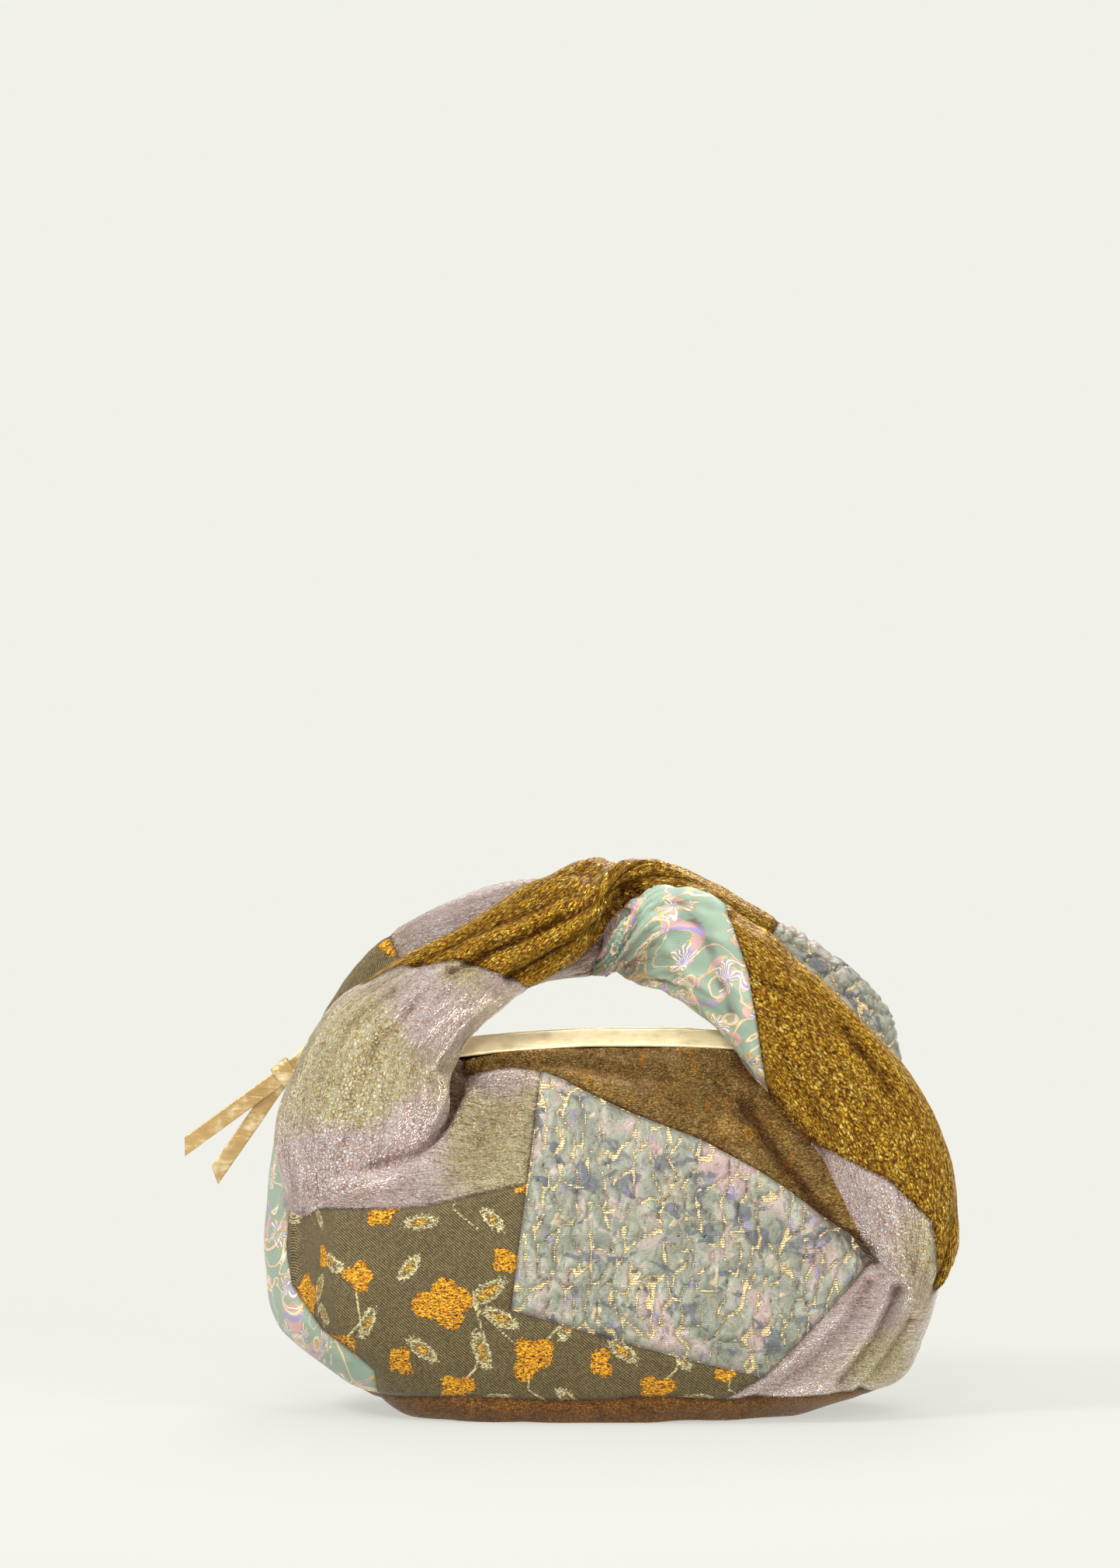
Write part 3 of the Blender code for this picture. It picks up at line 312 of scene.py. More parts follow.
def rounded(count, across, out):
    """A closed section of half width and height 1, as points; lower powers make it squarer."""
    turn = np.linspace(0, 2 * pi, count, endpoint=False)
    c, s = np.cos(turn), np.sin(turn)
    return np.stack([np.sign(c) * np.abs(c) ** across, np.sign(s) * np.abs(s) ** out], -1)


def pouch_surface():
    turn = np.linspace(0, 2 * pi, POUCH_COUNT, endpoint=False)
    rings = [outer_point(turn, 0.0) * (share, share, 0) for share in (0.5, 1.0)]
    rings += [outer_point(turn, height) for height in np.linspace(POUCH_START, MOUTH_HEIGHT, POUCH_RINGS)]
    rings.append(rings[-1] * (1, 0.3, 1))
    return np.concatenate(rings), tube_faces(len(rings), POUCH_COUNT)


def turned_by(x):
    """How far the straps have turned round each other."""
    full = np.arctan(-HANDLE_LINE[0][0] / TURN_REACH)
    return pi * np.clip(0.5 + 0.5 * np.arctan((x - TURN_X) / TURN_REACH) / full, 0, 1)


class Strap:
    """One padded strap as rings of points, with the length along it and the way round it at each point."""

    COUNT, RINGS, SAMPLES = 56, 300, 3000    # points round a ring, rings, and steps that measure the length

    def __init__(self, sizes, side):
        fine = np.linspace(0, len(HANDLE_LINE) - 1, self.SAMPLES)
        line = spline(HANDLE_LINE, fine)
        length = np.concatenate([[0], np.cumsum(np.linalg.norm(np.diff(line, axis=0), axis=1))])
        self.lengths = np.linspace(0, length[-1], self.RINGS)
        where = np.interp(self.lengths, length, fine)
        points = spline(HANDLE_LINE, where)
        ahead = spline(HANDLE_LINE, where + 0.01) - spline(HANDLE_LINE, where - 0.01)
        ahead /= np.linalg.norm(ahead, axis=-1, keepdims=True)
        outward = np.stack([-ahead[:, 1], ahead[:, 0]], -1)
        half_width, half_thick, distance, shift = spline(sizes, where).T
        phase = turned_by(points[:, 0]) + side
        across, out = rounded(self.COUNT, SECTION_POWER, SECTION_POWER).T
        wide = across[None] * half_width[:, None]
        deep = np.maximum(distance[:, None] + out[None] * half_thick[:, None], -STRAP_PRESS)
        front = deep * np.cos(phase)[:, None] - wide * np.sin(phase)[:, None]
        up = deep * np.sin(phase)[:, None] + wide * np.cos(phase)[:, None] + shift[:, None]
        self.rings = np.stack([points[:, :1] + up * outward[:, :1], -front, points[:, 1:] + up * outward[:, 1:]], -1)

    def surface(self):
        return self.rings.reshape(-1, 3), tube_faces(len(self.rings), self.COUNT)


def tree_of(points, faces):
    return BVHTree.FromPolygons([tuple(p) for p in points.tolist()], faces)


def nearest(tree, points):
    """Signed distance to a closed surface, the nearest face and the nearest point."""
    distance, index, place = np.zeros(len(points)), np.zeros(len(points), int), np.zeros((len(points), 3))
    for k, p in enumerate(points.tolist()):
        found, normal, face, away = tree.find_nearest(p)
        side = (p[0] - found[0]) * normal[0] + (p[1] - found[1]) * normal[1] + (p[2] - found[2]) * normal[2]
        distance[k], index[k], place[k] = (away if side >= 0 else -away), face, found
    return distance, index, place


def mesh_arrays(mesh):
    points = np.empty(len(mesh.vertices) * 3)
    mesh.vertices.foreach_get("co", points)
    mesh.calc_loop_triangles()
    triangles = np.empty(len(mesh.loop_triangles) * 3, np.int32)
    mesh.loop_triangles.foreach_get("vertices", triangles)
    return points.reshape(-1, 3), triangles.reshape(-1, 3).astype(int)


def joined_skin(surfaces, voxel):
    """One skin over closed surfaces that reach into each other."""
    points, faces, start = [], [], 0
    for p, f in surfaces:
        points.append(p)
        faces += [tuple(i + start for i in face) for face in f]
        start += len(p)
    mesh = bpy.data.meshes.new("skin")
    mesh.from_pydata([tuple(p) for p in np.concatenate(points).tolist()], [], faces)
    obj = bpy.data.objects.new("skin", mesh)
    bpy.context.scene.collection.objects.link(obj)
    step = obj.modifiers.new("Remesh", "REMESH")
    step.mode, step.voxel_size, step.adaptivity = "VOXEL", voxel, 0.0
    made = obj.evaluated_get(bpy.context.evaluated_depsgraph_get()).to_mesh()
    result = mesh_arrays(made)
    bpy.data.objects.remove(obj, do_unlink=True)
    bpy.data.meshes.remove(mesh)
    return result


def edges_of(triangles):
    ends = np.concatenate([triangles[:, [0, 1]], triangles[:, [1, 2]], triangles[:, [2, 0]]])
    return np.unique(np.sort(ends, axis=1), axis=0)


def relax(points, edges, weight, rounds):
    """Moves points towards the middle of their neighbours."""
    a, b = edges.T
    count = np.bincount(edges.ravel(), minlength=len(points))[:, None]
    for _ in range(rounds):
        total = np.zeros_like(points)
        for axis in range(3):
            at = points[:, axis]
            total[:, axis] = np.bincount(a, at[b], len(at)) + np.bincount(b, at[a], len(at))
        points = points + weight[:, None] * (total / count - points)
    return points


def normals_of(points, triangles):
    a, b, c = (points[triangles[:, k]] for k in range(3))
    face = np.cross(b - a, c - a)
    total = np.zeros_like(points)
    for axis in range(3):
        for k in range(3):
            total[:, axis] += np.bincount(triangles[:, k], face[:, axis], len(points))
    return total / np.maximum(np.linalg.norm(total, axis=1, keepdims=True), 1e-12)


class Cloth:
    """Triangles with values on their points. They are cut along the zero lines of values into labelled patches."""

    SNAP = 4e-5    # a point this near to a cut lies on it

    def __init__(self, points, triangles):
        self.triangles = triangles
        self.labels = np.zeros(len(triangles), int)
        self.names = ["pouch"]
        self.values = {"place": points}

    def cut(self, label, field, name):
        """The part of a patch where the field is negative becomes a patch of its own."""
        f = self.values[field]
        f[np.abs(f) < self.SNAP] = 0.0
        old = self.names.index(label)
        if name not in self.names:
            self.names.append(name)
        new = self.names.index(name)
        chosen = self.labels == old
        tri = self.triangles[chosen]
        sign = np.sign(f[tri])
        mixed = (sign.min(axis=1) < 0) & (sign.max(axis=1) > 0)
        kept, kept_labels = [self.triangles[~chosen], tri[~mixed]], [self.labels[~chosen]]
        kept_labels.append(np.where(sign[~mixed].sum(axis=1) < 0, new, old))
        tri, sign = tri[mixed], sign[mixed]
        zero = (sign == 0).any(axis=1)
        lone = np.where(zero, np.argmax(sign == 0, axis=1),
                        np.argmax(sign == -sign.sum(axis=1, keepdims=True), axis=1))
        order = (lone[:, None] + np.arange(3)) % 3
        tri, sign = np.take_along_axis(tri, order, 1), np.take_along_axis(sign, order, 1)
        first, second = np.where(zero, tri[:, 1], tri[:, 0]), np.where(zero, tri[:, 2], tri[:, 1])
        pairs = np.concatenate([np.stack([first, second], 1), tri[~zero][:, [0, 2]]])
        unique, index = np.unique(np.sort(pairs, axis=1), axis=0, return_inverse=True)
        index = index.reshape(-1) + len(f)
        a, b = unique.T
        share = f[a] / (f[a] - f[b])
        for key, value in self.values.items():
            t = share.reshape((-1,) + (1,) * (value.ndim - 1))
            self.values[key] = np.concatenate([value, value[a] * (1 - t) + value[b] * t])
        self.values[field][len(f):] = 0.0
        p = index[: len(tri)]
        side = np.where(sign < 0, new, old)
        z, s = tri[zero], side[zero]
        kept += [np.stack([z[:, 0], z[:, 1], p[zero]], 1), np.stack([z[:, 0], p[zero], z[:, 2]], 1)]
        kept_labels += [s[:, 1], s[:, 2]]
        t, s, pa, pb = tri[~zero], side[~zero], p[~zero], index[len(tri):]
        kept += [np.stack([t[:, 0], pa, pb], 1), np.stack([pa, t[:, 1], t[:, 2]], 1), np.stack([pa, t[:, 2], pb], 1)]
        kept_labels += [s[:, 0], s[:, 1], s[:, 1]]
        self.triangles, self.labels = np.concatenate(kept), np.concatenate(kept_labels)

    def piece(self, label):
        """The index of each point of a patch, and its triangles in the patch's own numbering."""
        tri = self.triangles[self.labels == self.names.index(label)]
        used, index = np.unique(tri, return_inverse=True)
        return used, index.reshape(-1, 3)


# The bag's cloth

# Each patch: its cloth, and the node that it stands for
PATCHES = {
    "pouch": ("twill", "front_panel"), "front_blush": ("blush", None), "front_top": ("bronze", None),
    "front_quilt": ("quilt", None), "front_corner": ("blush", None),
    "side_left": ("sage", "left_gusset"), "side_right": ("sage", "right_gusset"), "base_band": ("base", "base_panel"),
    "back": ("twill", "back_panel"), "back_top": ("bronze", None), "back_quilt": ("quilt", None),
    "back_teal": ("sage", None), "back_blush": ("blush", None),
    "strap_a": ("mustard", "handle_strap_a"), "a_petal": ("blush", None), "a_quilt": ("quilt", None),
    "strap_b": ("mustard", "handle_strap_b"), "b_twill": ("twill", None), "b_blush": ("blush", None),
    "b_teal": ("sage", None), "b_end": ("blush", None),
}
# The patch that is cut, the value whose zero line cuts it, and the new patch, in this order
CUTS = [
    ("pouch", "to_straps", "strap_a"), ("strap_a", "a_or_b", "strap_b"), ("pouch", "base", "base_band"),
    ("pouch", "left", "side_left"), ("pouch", "right", "side_right"), ("pouch", "depth", "back"),
    ("pouch", "blush_band", "front_blush"), ("pouch", "top_band", "front_top"),
    ("pouch", "quilt_patch", "front_quilt"),
    ("pouch", "corner_patch", "front_corner"),
    *(("back", name, name) for name in ("back_top", "back_quilt", "back_teal", "back_blush")),
    *(("strap_a", name, "a_" + name) for name in ("petal", "quilt")),
    *(("strap_b", name, "b_" + name) for name in ("twill", "blush", "teal")), ("strap_b", "mustard", "b_end"),
]
NO_SEAM = 0.05           # distance given where no seam is near
SEAM_OVERLAP = 0.002     # a seam counts this far into the patch that was cut before it
BASE_WAVE, BASE_WAVES = 0.0006, 90
RIGHT_START = 0.001      # the right end's patch starts this far in front of the bag's middle
SIDE_START, SIDE_FADE, SIDE_CLOTH = 0.105, 0.02, 0.115
STRAP_ROUND, STRAP_END_FADE, PAST_END = 0.13, 0.012, 0.0003


def on_a_strap(label):
    return label.startswith(("strap", "a_", "b_"))


def strap_place(strap, face, place):
    """Length along a strap and share of the way round it, at the nearest points of its surface."""
    count = strap.COUNT
    face = np.minimum(face, (len(strap.rings) - 1) * count - 1)
    k, i = face // count, face % count
    start = strap.rings[k, i]

    def share(end):
        edge = end - start
        return np.clip(((place - start) * edge).sum(1) / np.maximum((edge * edge).sum(1), 1e-12), 0, 1)

    along, across = share(strap.rings[k + 1, i]), share(strap.rings[k, (i + 1) % count])
    return strap.lengths[k] + along * (strap.lengths[1] - strap.lengths[0]), (i + across) / count


def cloth_values(cloth, pouch, straps):
    """Gives each point of the uncut skin its seam distances and cloth coordinates.

    Returns which points lie on a strap, and which lie nearer to strap A.
    """
    value = cloth.values
    points = value["place"]
    to_pouch, _, _ = nearest(tree_of(*pouch), points)
    to_strap, places = [], []
    for strap in straps:
        tube, faces = strap.surface()
        away, face, place = nearest(tree_of(tube, faces[:-2]), points)
        places.append(strap_place(strap, face, place))
        past = np.minimum(places[-1][0], strap.lengths[-1] - places[-1][0]) < PAST_END
        to_strap.append(np.where(past, np.abs(away), away))
    x, y, z = points.T
    value["to_straps"] = np.minimum(*to_strap) - to_pouch
    value["a_or_b"] = to_strap[1] - to_strap[0]
    value["base"] = z - BASE_BAND_HEIGHT - BASE_WAVE * np.sin(x * BASE_WAVES)
    value["depth"] = -y
    for name, outline in OUTLINES.items():
        value[name] = outside(on_front(outline), x, z)
    value["right"] = np.maximum(value["right"], -RIGHT_START - y)    # in front the corner's cloth runs on to the end
    on_strap, on_a = value["to_straps"] < 0, value["a_or_b"] > 0
    # Cloth coordinates, in metres: across and up on the pouch, along and round on a strap
    side = smoothstep((np.abs(x) - SIDE_START) / SIDE_FADE)
    across = x * (1 - side) + np.sign(x) * (SIDE_CLOTH + np.abs(y)) * side
    value["cloth_pouch"] = np.stack([across, z, np.zeros(len(x))], -1)
    for name, strap, (length, girth) in zip("ab", straps, places):
        round_ = np.abs(girth - 0.5) * STRAP_ROUND
        value["cloth_" + name] = np.stack([length, round_, np.full(len(x), 0.5)], -1)
        value["end_" + name] = smoothstep(np.minimum(length, strap.lengths[-1] - length) / STRAP_END_FADE)
    own = np.where(on_a[:, None], value["cloth_a"], value["cloth_b"])
    value["cloth"] = np.where(on_strap[:, None], own, value["cloth_pouch"])
    value["end"] = np.where(on_a, value["end_a"], value["end_b"])
    return on_strap, on_a


def seam_distance(value, on_strap, on_a):
    """Distance to the nearest seam of the patch that a point lies in."""
    y = value["place"][:, 1]
    near = np.full(len(y), NO_SEAM)

    def beyond(*names):
        """Points outside the patches that were cut before."""
        return np.all([value[name] > -SEAM_OVERLAP for name in names], axis=0)

    middle = ~on_strap & (value["left"] > 0) & (value["right"] > 0) & (value["base"] > 0)
    front, back, on_b = middle & (y < 0), middle & ~(y < 0), on_strap & ~on_a
    for names, where in (
            (("left", "right", "base"), ~on_strap),
            (("blush_band", "top_band", "quilt_patch"), front),
            (("corner_patch",), front & beyond("quilt_patch")),
            (("back_top",), back),
            (("back_quilt",), back & beyond("back_top")),
            (("back_teal", "back_blush"), back & beyond("back_top", "back_quilt")),
            (("petal", "quilt"), on_strap & on_a),
            (("twill",), on_b),
            (("blush",), on_b & beyond("twill")),
            (("teal",), on_b & beyond("blush")),
            (("mustard",), on_b & beyond("teal"))):
        for name in names:
            near = np.where(where, np.minimum(near, np.abs(value[name])), near)
    return near


# Folds drawn on the front view: points, half width, depth (outward is positive)
POUCH_FOLDS = [
    ([(600, 1372), (585, 1402), (560, 1430), (520, 1458), (470, 1480), (430, 1488)], 0.0046, -0.0042),
    ([(612, 1412), (592, 1452), (550, 1490), (495, 1506), (430, 1506)], 0.0042, 0.0036),
    ([(655, 1400), (628, 1450), (590, 1500), (560, 1530)], 0.0034, -0.0012),
    ([(690, 1400), (660, 1460), (640, 1510)], 0.0042, 0.0012),
    ([(640, 1384), (760, 1388), (860, 1420), (960, 1450)], 0.0042, 0.0016),
    ([(620, 1362), (740, 1366), (880, 1384), (960, 1410)], 0.0030, -0.0012),
    ([(960, 1420), (1010, 1490), (1066, 1556), (1110, 1606)], 0.0040, -0.0036),
    ([(930, 1440), (985, 1520), (1045, 1590)], 0.0046, 0.0018),
    ([(1112, 1640), (1085, 1690), (1030, 1745), (960, 1790)], 0.0034, -0.0016),
    ([(1150, 1650), (1120, 1710), (1080, 1765)], 0.0030, -0.0020),
    ([(1170, 1690), (1140, 1735), (1105, 1780)], 0.0024, -0.0018),
    ([(1130, 1660), (1102, 1715), (1055, 1768)], 0.0030, 0.0014),
    ([(395, 1560), (400, 1640), (430, 1700), (470, 1745)], 0.0040, -0.0012),
    ([(500, 1815), (640, 1796), (800, 1800), (950, 1792), (1060, 1770)], 0.0040, 0.0009),
]
STRAP_FOLDS = [
    ([(545, 1232), (643, 1188), (729, 1156), (814, 1141)], 0.0030, -0.0028),
    ([(588, 1246), (680, 1204), (765, 1162), (820, 1146)], 0.0028, -0.0034),
    ([(661, 1256), (716, 1229), (765, 1198), (800, 1168)], 0.0028, -0.0036),
    ([(610, 1212), (690, 1180), (760, 1150)], 0.0028, 0.0020),
    ([(640, 1238), (710, 1204), (770, 1172)], 0.0028, 0.0022),
    ([(514, 1221), (533, 1186), (594, 1150), (680, 1130), (760, 1122)], 0.0034, -0.0018),
    ([(560, 1180), (640, 1146), (740, 1130)], 0.0030, 0.0012),
    ([(800, 1150), (815, 1190), (800, 1240)], 0.0030, -0.0012),
    ([(870, 1150), (905, 1200), (925, 1262), (935, 1300)], 0.0036, -0.0018),
    ([(840, 1180), (870, 1235), (920, 1282)], 0.0030, 0.0012),
    ([(949, 1176), (1023, 1240), (1090, 1322), (1139, 1390)], 0.0034, -0.0022),
    ([(980, 1262), (1041, 1292), (1105, 1350), (1150, 1430)], 0.0030, -0.0014),
    ([(985, 1200), (1055, 1262), (1120, 1345)], 0.0034, 0.0014),
    ([(990, 1300), (1020, 1380), (1070, 1450), (1140, 1500)], 0.0036, -0.0012),
    ([(1029, 1466), (1090, 1515), (1150, 1590), (1185, 1665)], 0.0040, -0.0012),
    ([(1060, 1140), (1100, 1200), (1150, 1290), (1180, 1370)], 0.0030, -0.0016),
    ([(405, 1440), (420, 1380), (455, 1320), (510, 1270)], 0.0030, -0.0010),
    ([(450, 1460), (460, 1400), (490, 1340), (545, 1280)], 0.0026, -0.0010),
    ([(510, 1450), (540, 1390), (585, 1330), (640, 1290)], 0.0034, 0.0010),
]


PUFF_SIZE, PUFF_EDGE = (0.0062, 0.0185), 0.0030
SEAM_WIDTH, PINCH_DEPTH = 0.0018, 0.0022
ROOT_REACH, HOLLOW_DEPTH = 0.013, 0.0007
BACK_LAYER = 0.2                                                          # sets the back's woven motifs apart
MOUTH_X, MOUTH_Y, MOUTH_Z = (0.003, 0.098), 0.0100, (0.0016, 0.003)       # centre and half; half; below and above


def to_thread(place, seed):
    """Distance to the gold thread that runs between the puffs."""
    u, v, layer = place.T
    wide, fine = lumps(u / 0.012, v / 0.017, layer, seed + 5), lumps(u / 0.0046, v / 0.0075, layer, seed + 6)
    warp, drift = 0.0052 * wide + 0.0026 * fine, 0.0030 * lumps(u / 0.010, v / 0.014, layer, seed + 8)
    return cells(u + warp, v + drift, *PUFF_SIZE, seed)


def push(value, on_strap, on_a, sizes):
    """How far each point moves along its normal: slack, folds, gathers, puffs and seams."""
    x, y, z = value["place"].T
    u, v, layer = value["cloth"].T
    seed = sizes.seed
    strap_share = smoothstep(-value["to_straps"] / 0.006) * value["end"]
    pouch_share = 1 - smoothstep(-value["to_straps"] / 0.005) * value["end"]
    move = sizes.slack * 1.3 * lumps(x / 0.045, y / 0.06, z / 0.040, seed)
    move = move + sizes.slack * 0.5 * lumps(x / 0.016, y / 0.02, z / 0.014, seed + 1)
    for folds, share, toward in ((POUCH_FOLDS, pouch_share, smoothstep(-y / 0.010)),
                                 (STRAP_FOLDS, strap_share, smoothstep(0.5 - y / 0.020))):
        for line, width, depth in folds:
            move += share * depth * bell(to_line(on_front(line), x, z) / width) * toward
    # Gathers run along the straps and are deepest at the roots and at the turn
    roots = smoothstep((0.100 - z) / 0.05) + bell((x - TURN_X) / 0.030)
    depth = sizes.gathers * (0.55 + 0.8 * np.clip(roots, 0, 1.3))
    ridges = 1 - 2 * np.abs(lumps(u / 0.030, v / 0.0055, layer, seed + 2))
    fine = 1 - 2 * np.abs(lumps(u / 0.012, v / 0.0030, layer, seed + 3))
    move += strap_share * depth * (0.8 * ridges + 0.35 * fine)
    pinch = bell((x - TURN_X - 0.002) / 0.012) * strap_share
    move -= PINCH_DEPTH * pinch * (0.5 + 0.5 * lumps(u / 0.02, v / 0.004, 0, seed + 4))
    # Quilted puffs between the lines of gold thread
    on_pouch = np.where(y < 0, -value["quilt_patch"], np.minimum(-value["back_quilt"], value["back_top"]))
    quilted = np.where(on_strap, -value["quilt"] * on_a, on_pouch)
    puff = np.sqrt(1 - (1 - np.clip(to_thread(value["cloth"], seed) / PUFF_EDGE, 0, 1)) ** 2)
    puff = puff * (0.8 + 0.35 * lumps(u / 0.006, v / 0.007, layer, seed + 9))
    move += sizes.puffs * (puff - 0.5) * smoothstep(quilted / 0.004) * 1.9
    # A groove along every seam, with small puckers beside it
    seam = value["seam"]
    pucker = lumps(x / 0.0050, y / 0.0050, z / 0.0050, seed + 7)
    puckers = sizes.groove * 0.8 * pucker * bell((seam - 0.003) / 0.0035) * smoothstep(z / 0.014 - 0.6)
    move += -sizes.groove * bell(seam / SEAM_WIDTH) + puckers
    return move


# Woven blossoms (x, z, size, turn), leaves (x, z, half length, half width, turn) and stems of one repeat
BLOSSOMS = (
    (-0.014, 0.010, 0.0078, 0.3), (0.013, -0.006, 0.0064, 1.0), (-0.010, -0.016, 0.0050, 0.5),
    (0.021, 0.018, 0.0044, 0.1), (-0.027, -0.008, 0.0042, 0.8), (0.005, 0.024, 0.0040, 0.4),
)
LEAVES = (
    (0.000, 0.014, 0.0062, 0.0026, 0.6), (0.004, 0.006, 0.0056, 0.0022, -0.5), (-0.002, -0.004, 0.0060, 0.0024, 1.9),
    (-0.020, -0.004, 0.0052, 0.0022, 2.5), (0.002, -0.020, 0.0052, 0.0021, 0.1), (0.024, 0.004, 0.0048, 0.0020, 1.2),
    (0.012, 0.022, 0.0050, 0.0021, 2.7), (-0.024, 0.021, 0.0046, 0.0020, 0.9), (0.024, -0.019, 0.0042, 0.0019, -0.8),
)
STEMS = (
    [(-0.014, 0.010), (-0.004, 0.010), (0.004, 0.002), (0.013, -0.006)],
    [(0.013, -0.006), (0.022, 0.004), (0.020, 0.018)],
    [(-0.010, -0.016), (-0.004, -0.010), (-0.001, 0.000), (-0.004, 0.010)],
    [(0.013, -0.006), (0.012, -0.016), (0.020, -0.022)],
)
REPEAT_WIDE, REPEAT_HIGH, REPEAT_SHIFT, REPEAT_START, MOTIF_SCALE = 0.078, 0.070, 0.37, 0.006, 1.28


def motifs(place):
    """Signed distances to the woven blossoms and leaves, positive inside them, and to their stems."""
    u, v, _ = place.T
    blossoms, leaves, stems = np.full(len(u), -NO_SEAM), np.full(len(u), -NO_SEAM), np.full(len(u), NO_SEAM)
    row = np.floor(v / REPEAT_HIGH)
    a = ((u + REPEAT_START + REPEAT_SHIFT * REPEAT_WIDE * row) % REPEAT_WIDE - REPEAT_WIDE / 2) / MOTIF_SCALE
    b = (v % REPEAT_HIGH - REPEAT_HIGH / 2) / MOTIF_SCALE

    def oval(cx, cz, long, wide, angle):
        dx, dz = a - cx, b - cz
        p, q = dx * cos(angle) + dz * sin(angle), -dx * sin(angle) + dz * cos(angle)
        return (1 - np.hypot(p / long, q / wide)) * min(long, wide)

    for cx, cz, size, turn in BLOSSOMS:
        for k in range(4):
            angle, far = turn + 2 * pi * k / 4 + 0.5 * sin(5 * k + cx * 900), 0.45 + 0.12 * sin(3 * k + cz * 700)
            petal = oval(cx + far * size * cos(angle), cz + far * size * sin(angle), 0.72 * size, 0.55 * size, angle)
            blossoms = np.maximum(blossoms, petal)
    for leaf in LEAVES:
        leaves = np.maximum(leaves, oval(*leaf))
    for line in STEMS:
        stems = np.minimum(stems, to_line(line, a, b))
    return blossoms, leaves, stems


# Where the pink cloth is more golden, or less: a point on the front view, its reach and how much
GOLD_SPOTS = (
    (480, 1400, 0.022, 0.7), (460, 1340, 0.014, 0.4), (600, 1246, 0.010, 0.5), (560, 1300, 0.014, -0.6),
    (450, 1512, 0.022, -0.9), (640, 1470, 0.016, 0.5), (650, 1388, 0.010, -0.5), (545, 1440, 0.010, -0.6),
    (1120, 1735, 0.012, 0.5), (1000, 1765, 0.010, -0.2), (1100, 1660, 0.018, -0.9), (650, 1170, 0.03, -0.7),
    (1100, 1520, 0.02, -0.8),
)


def gold_share(place):
    """Where the pink cloth turns to pale gold."""
    x, y, z = place.T
    tone = 0.45 + 0.40 * lumps(x / 0.040, y / 0.05, z / 0.040, 31)
    for px, pz, reach, amount in GOLD_SPOTS:
        cx, cz = on_front([(px, pz)])[0]
        tone = tone + np.where(y < 0.01, amount * bell(np.hypot(x - cx, z - cz) / reach), 0)
    return tone


def make_cloth(sizes):
    """The bag's skin, pushed into folds and cut into patches."""
    pouch, straps = pouch_surface(), [Strap(STRAP_A, 0.0), Strap(STRAP_B, pi)]
    points, triangles = joined_skin([pouch] + [strap.surface() for strap in straps], sizes.voxel)
    cloth = Cloth(points, triangles)
    value, edges, all_points = cloth.values, edges_of(triangles), np.ones(len(points))
    value["place"] = relax(points, edges, 0.55 * all_points, 5)
    on_strap, on_a = cloth_values(cloth, pouch, straps)
    # The roots run on into the pouch's cloth below them, with no crease there
    x, _, z = value["place"].T
    near = bell(value["to_straps"] / ROOT_REACH)
    left = near * smoothstep((0.112 - z) / 0.02) * smoothstep((-0.062 - x) / 0.02)
    right = near * smoothstep((0.068 - z) / 0.02) * smoothstep((x - 0.05) / 0.02)
    value["place"] = relax(value["place"], edges, np.clip(np.maximum(left, right), 0, 0.7), 110)
    value["seam"] = seam_distance(value, on_strap, on_a)
    normals = normals_of(value["place"], triangles)
    value["place"] = value["place"] + push(value, on_strap, on_a, sizes)[:, None] * normals
    value["place"][:, 2] = np.maximum(value["place"][:, 2], 0.0)
    value["normal"] = normals_of(value["place"], triangles)
    # How far each point lies below its smoothed surroundings: it drives the painted shade in hollows and the painted
    # highlight on crests
    soft = relax(value["place"], edges, 0.6 * all_points, 24)
    value["hollow"] = ((soft - value["place"]) * value["normal"]).sum(axis=1) / HOLLOW_DEPTH
    value["tone"] = gold_share(value["place"])
    for cut in CUTS:
        cloth.cut(*cut)
    return cloth


def open_mouth(points, triangles):
    """Leaves out the faces under the zip, so that the pouch stays open there."""
    x, y, z = points[triangles].mean(axis=1).T
    level = MOUTH_HEIGHT - zip_drop(x)
    (centre, half_long), half_wide, (below, above) = MOUTH_X, MOUTH_Y, MOUTH_Z
    inside = (np.abs(y) < half_wide) & (z > level - below) & (np.abs(x - centre) < half_long) & (z < level + above)
    return triangles[~inside]


SHADER_VALUES = ("cloth", "seam", "hollow", "thread", "tone", "blossoms", "leaves", "stems")


def patch_object(cloth, label, finish, seed):
    """A patch as an object that carries what its finish reads."""
    used, triangles = cloth.piece(label)
    value = cloth.values
    own = "pouch" if not on_a_strap(label) else "a" if label in ("strap_a", "a_petal", "a_quilt") else "b"
    place = value["cloth_" + own][used]
    drawn = {"cloth": place + (0, 0, BACK_LAYER if label.startswith("back") else 0), "thread": to_thread(place, seed)}
    drawn["blossoms"], drawn["leaves"], drawn["stems"] = motifs(drawn["cloth"])
    points = value["place"][used]
    if not on_a_strap(label):
        triangles = open_mouth(points, triangles)
    obj = mesh_object("cloth_" + label, points, triangles, finish, check=False)
    for name in SHADER_VALUES:
        data = drawn[name] if name in drawn else value[name][used]
        kind, field = ("FLOAT_VECTOR", "vector") if data.ndim == 2 else ("FLOAT", "value")
        obj.data.attributes.new(name, kind, "POINT").data.foreach_set(field, data.astype(np.float32).ravel())
    obj.data.normals_split_custom_set_from_vertices(value["normal"][used].tolist())
    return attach(obj, "bag")


# Shader maths

BRICK_SHIFT = 0.37       # each row of a woven speckle starts this much further on
CREST_LIGHT, HOLLOW_SHADE = (1.28, 1.28, 1.28), (0.34, 0.22, 0.20)
FAN_PITCH = (23, 21)     # millimetres across and up


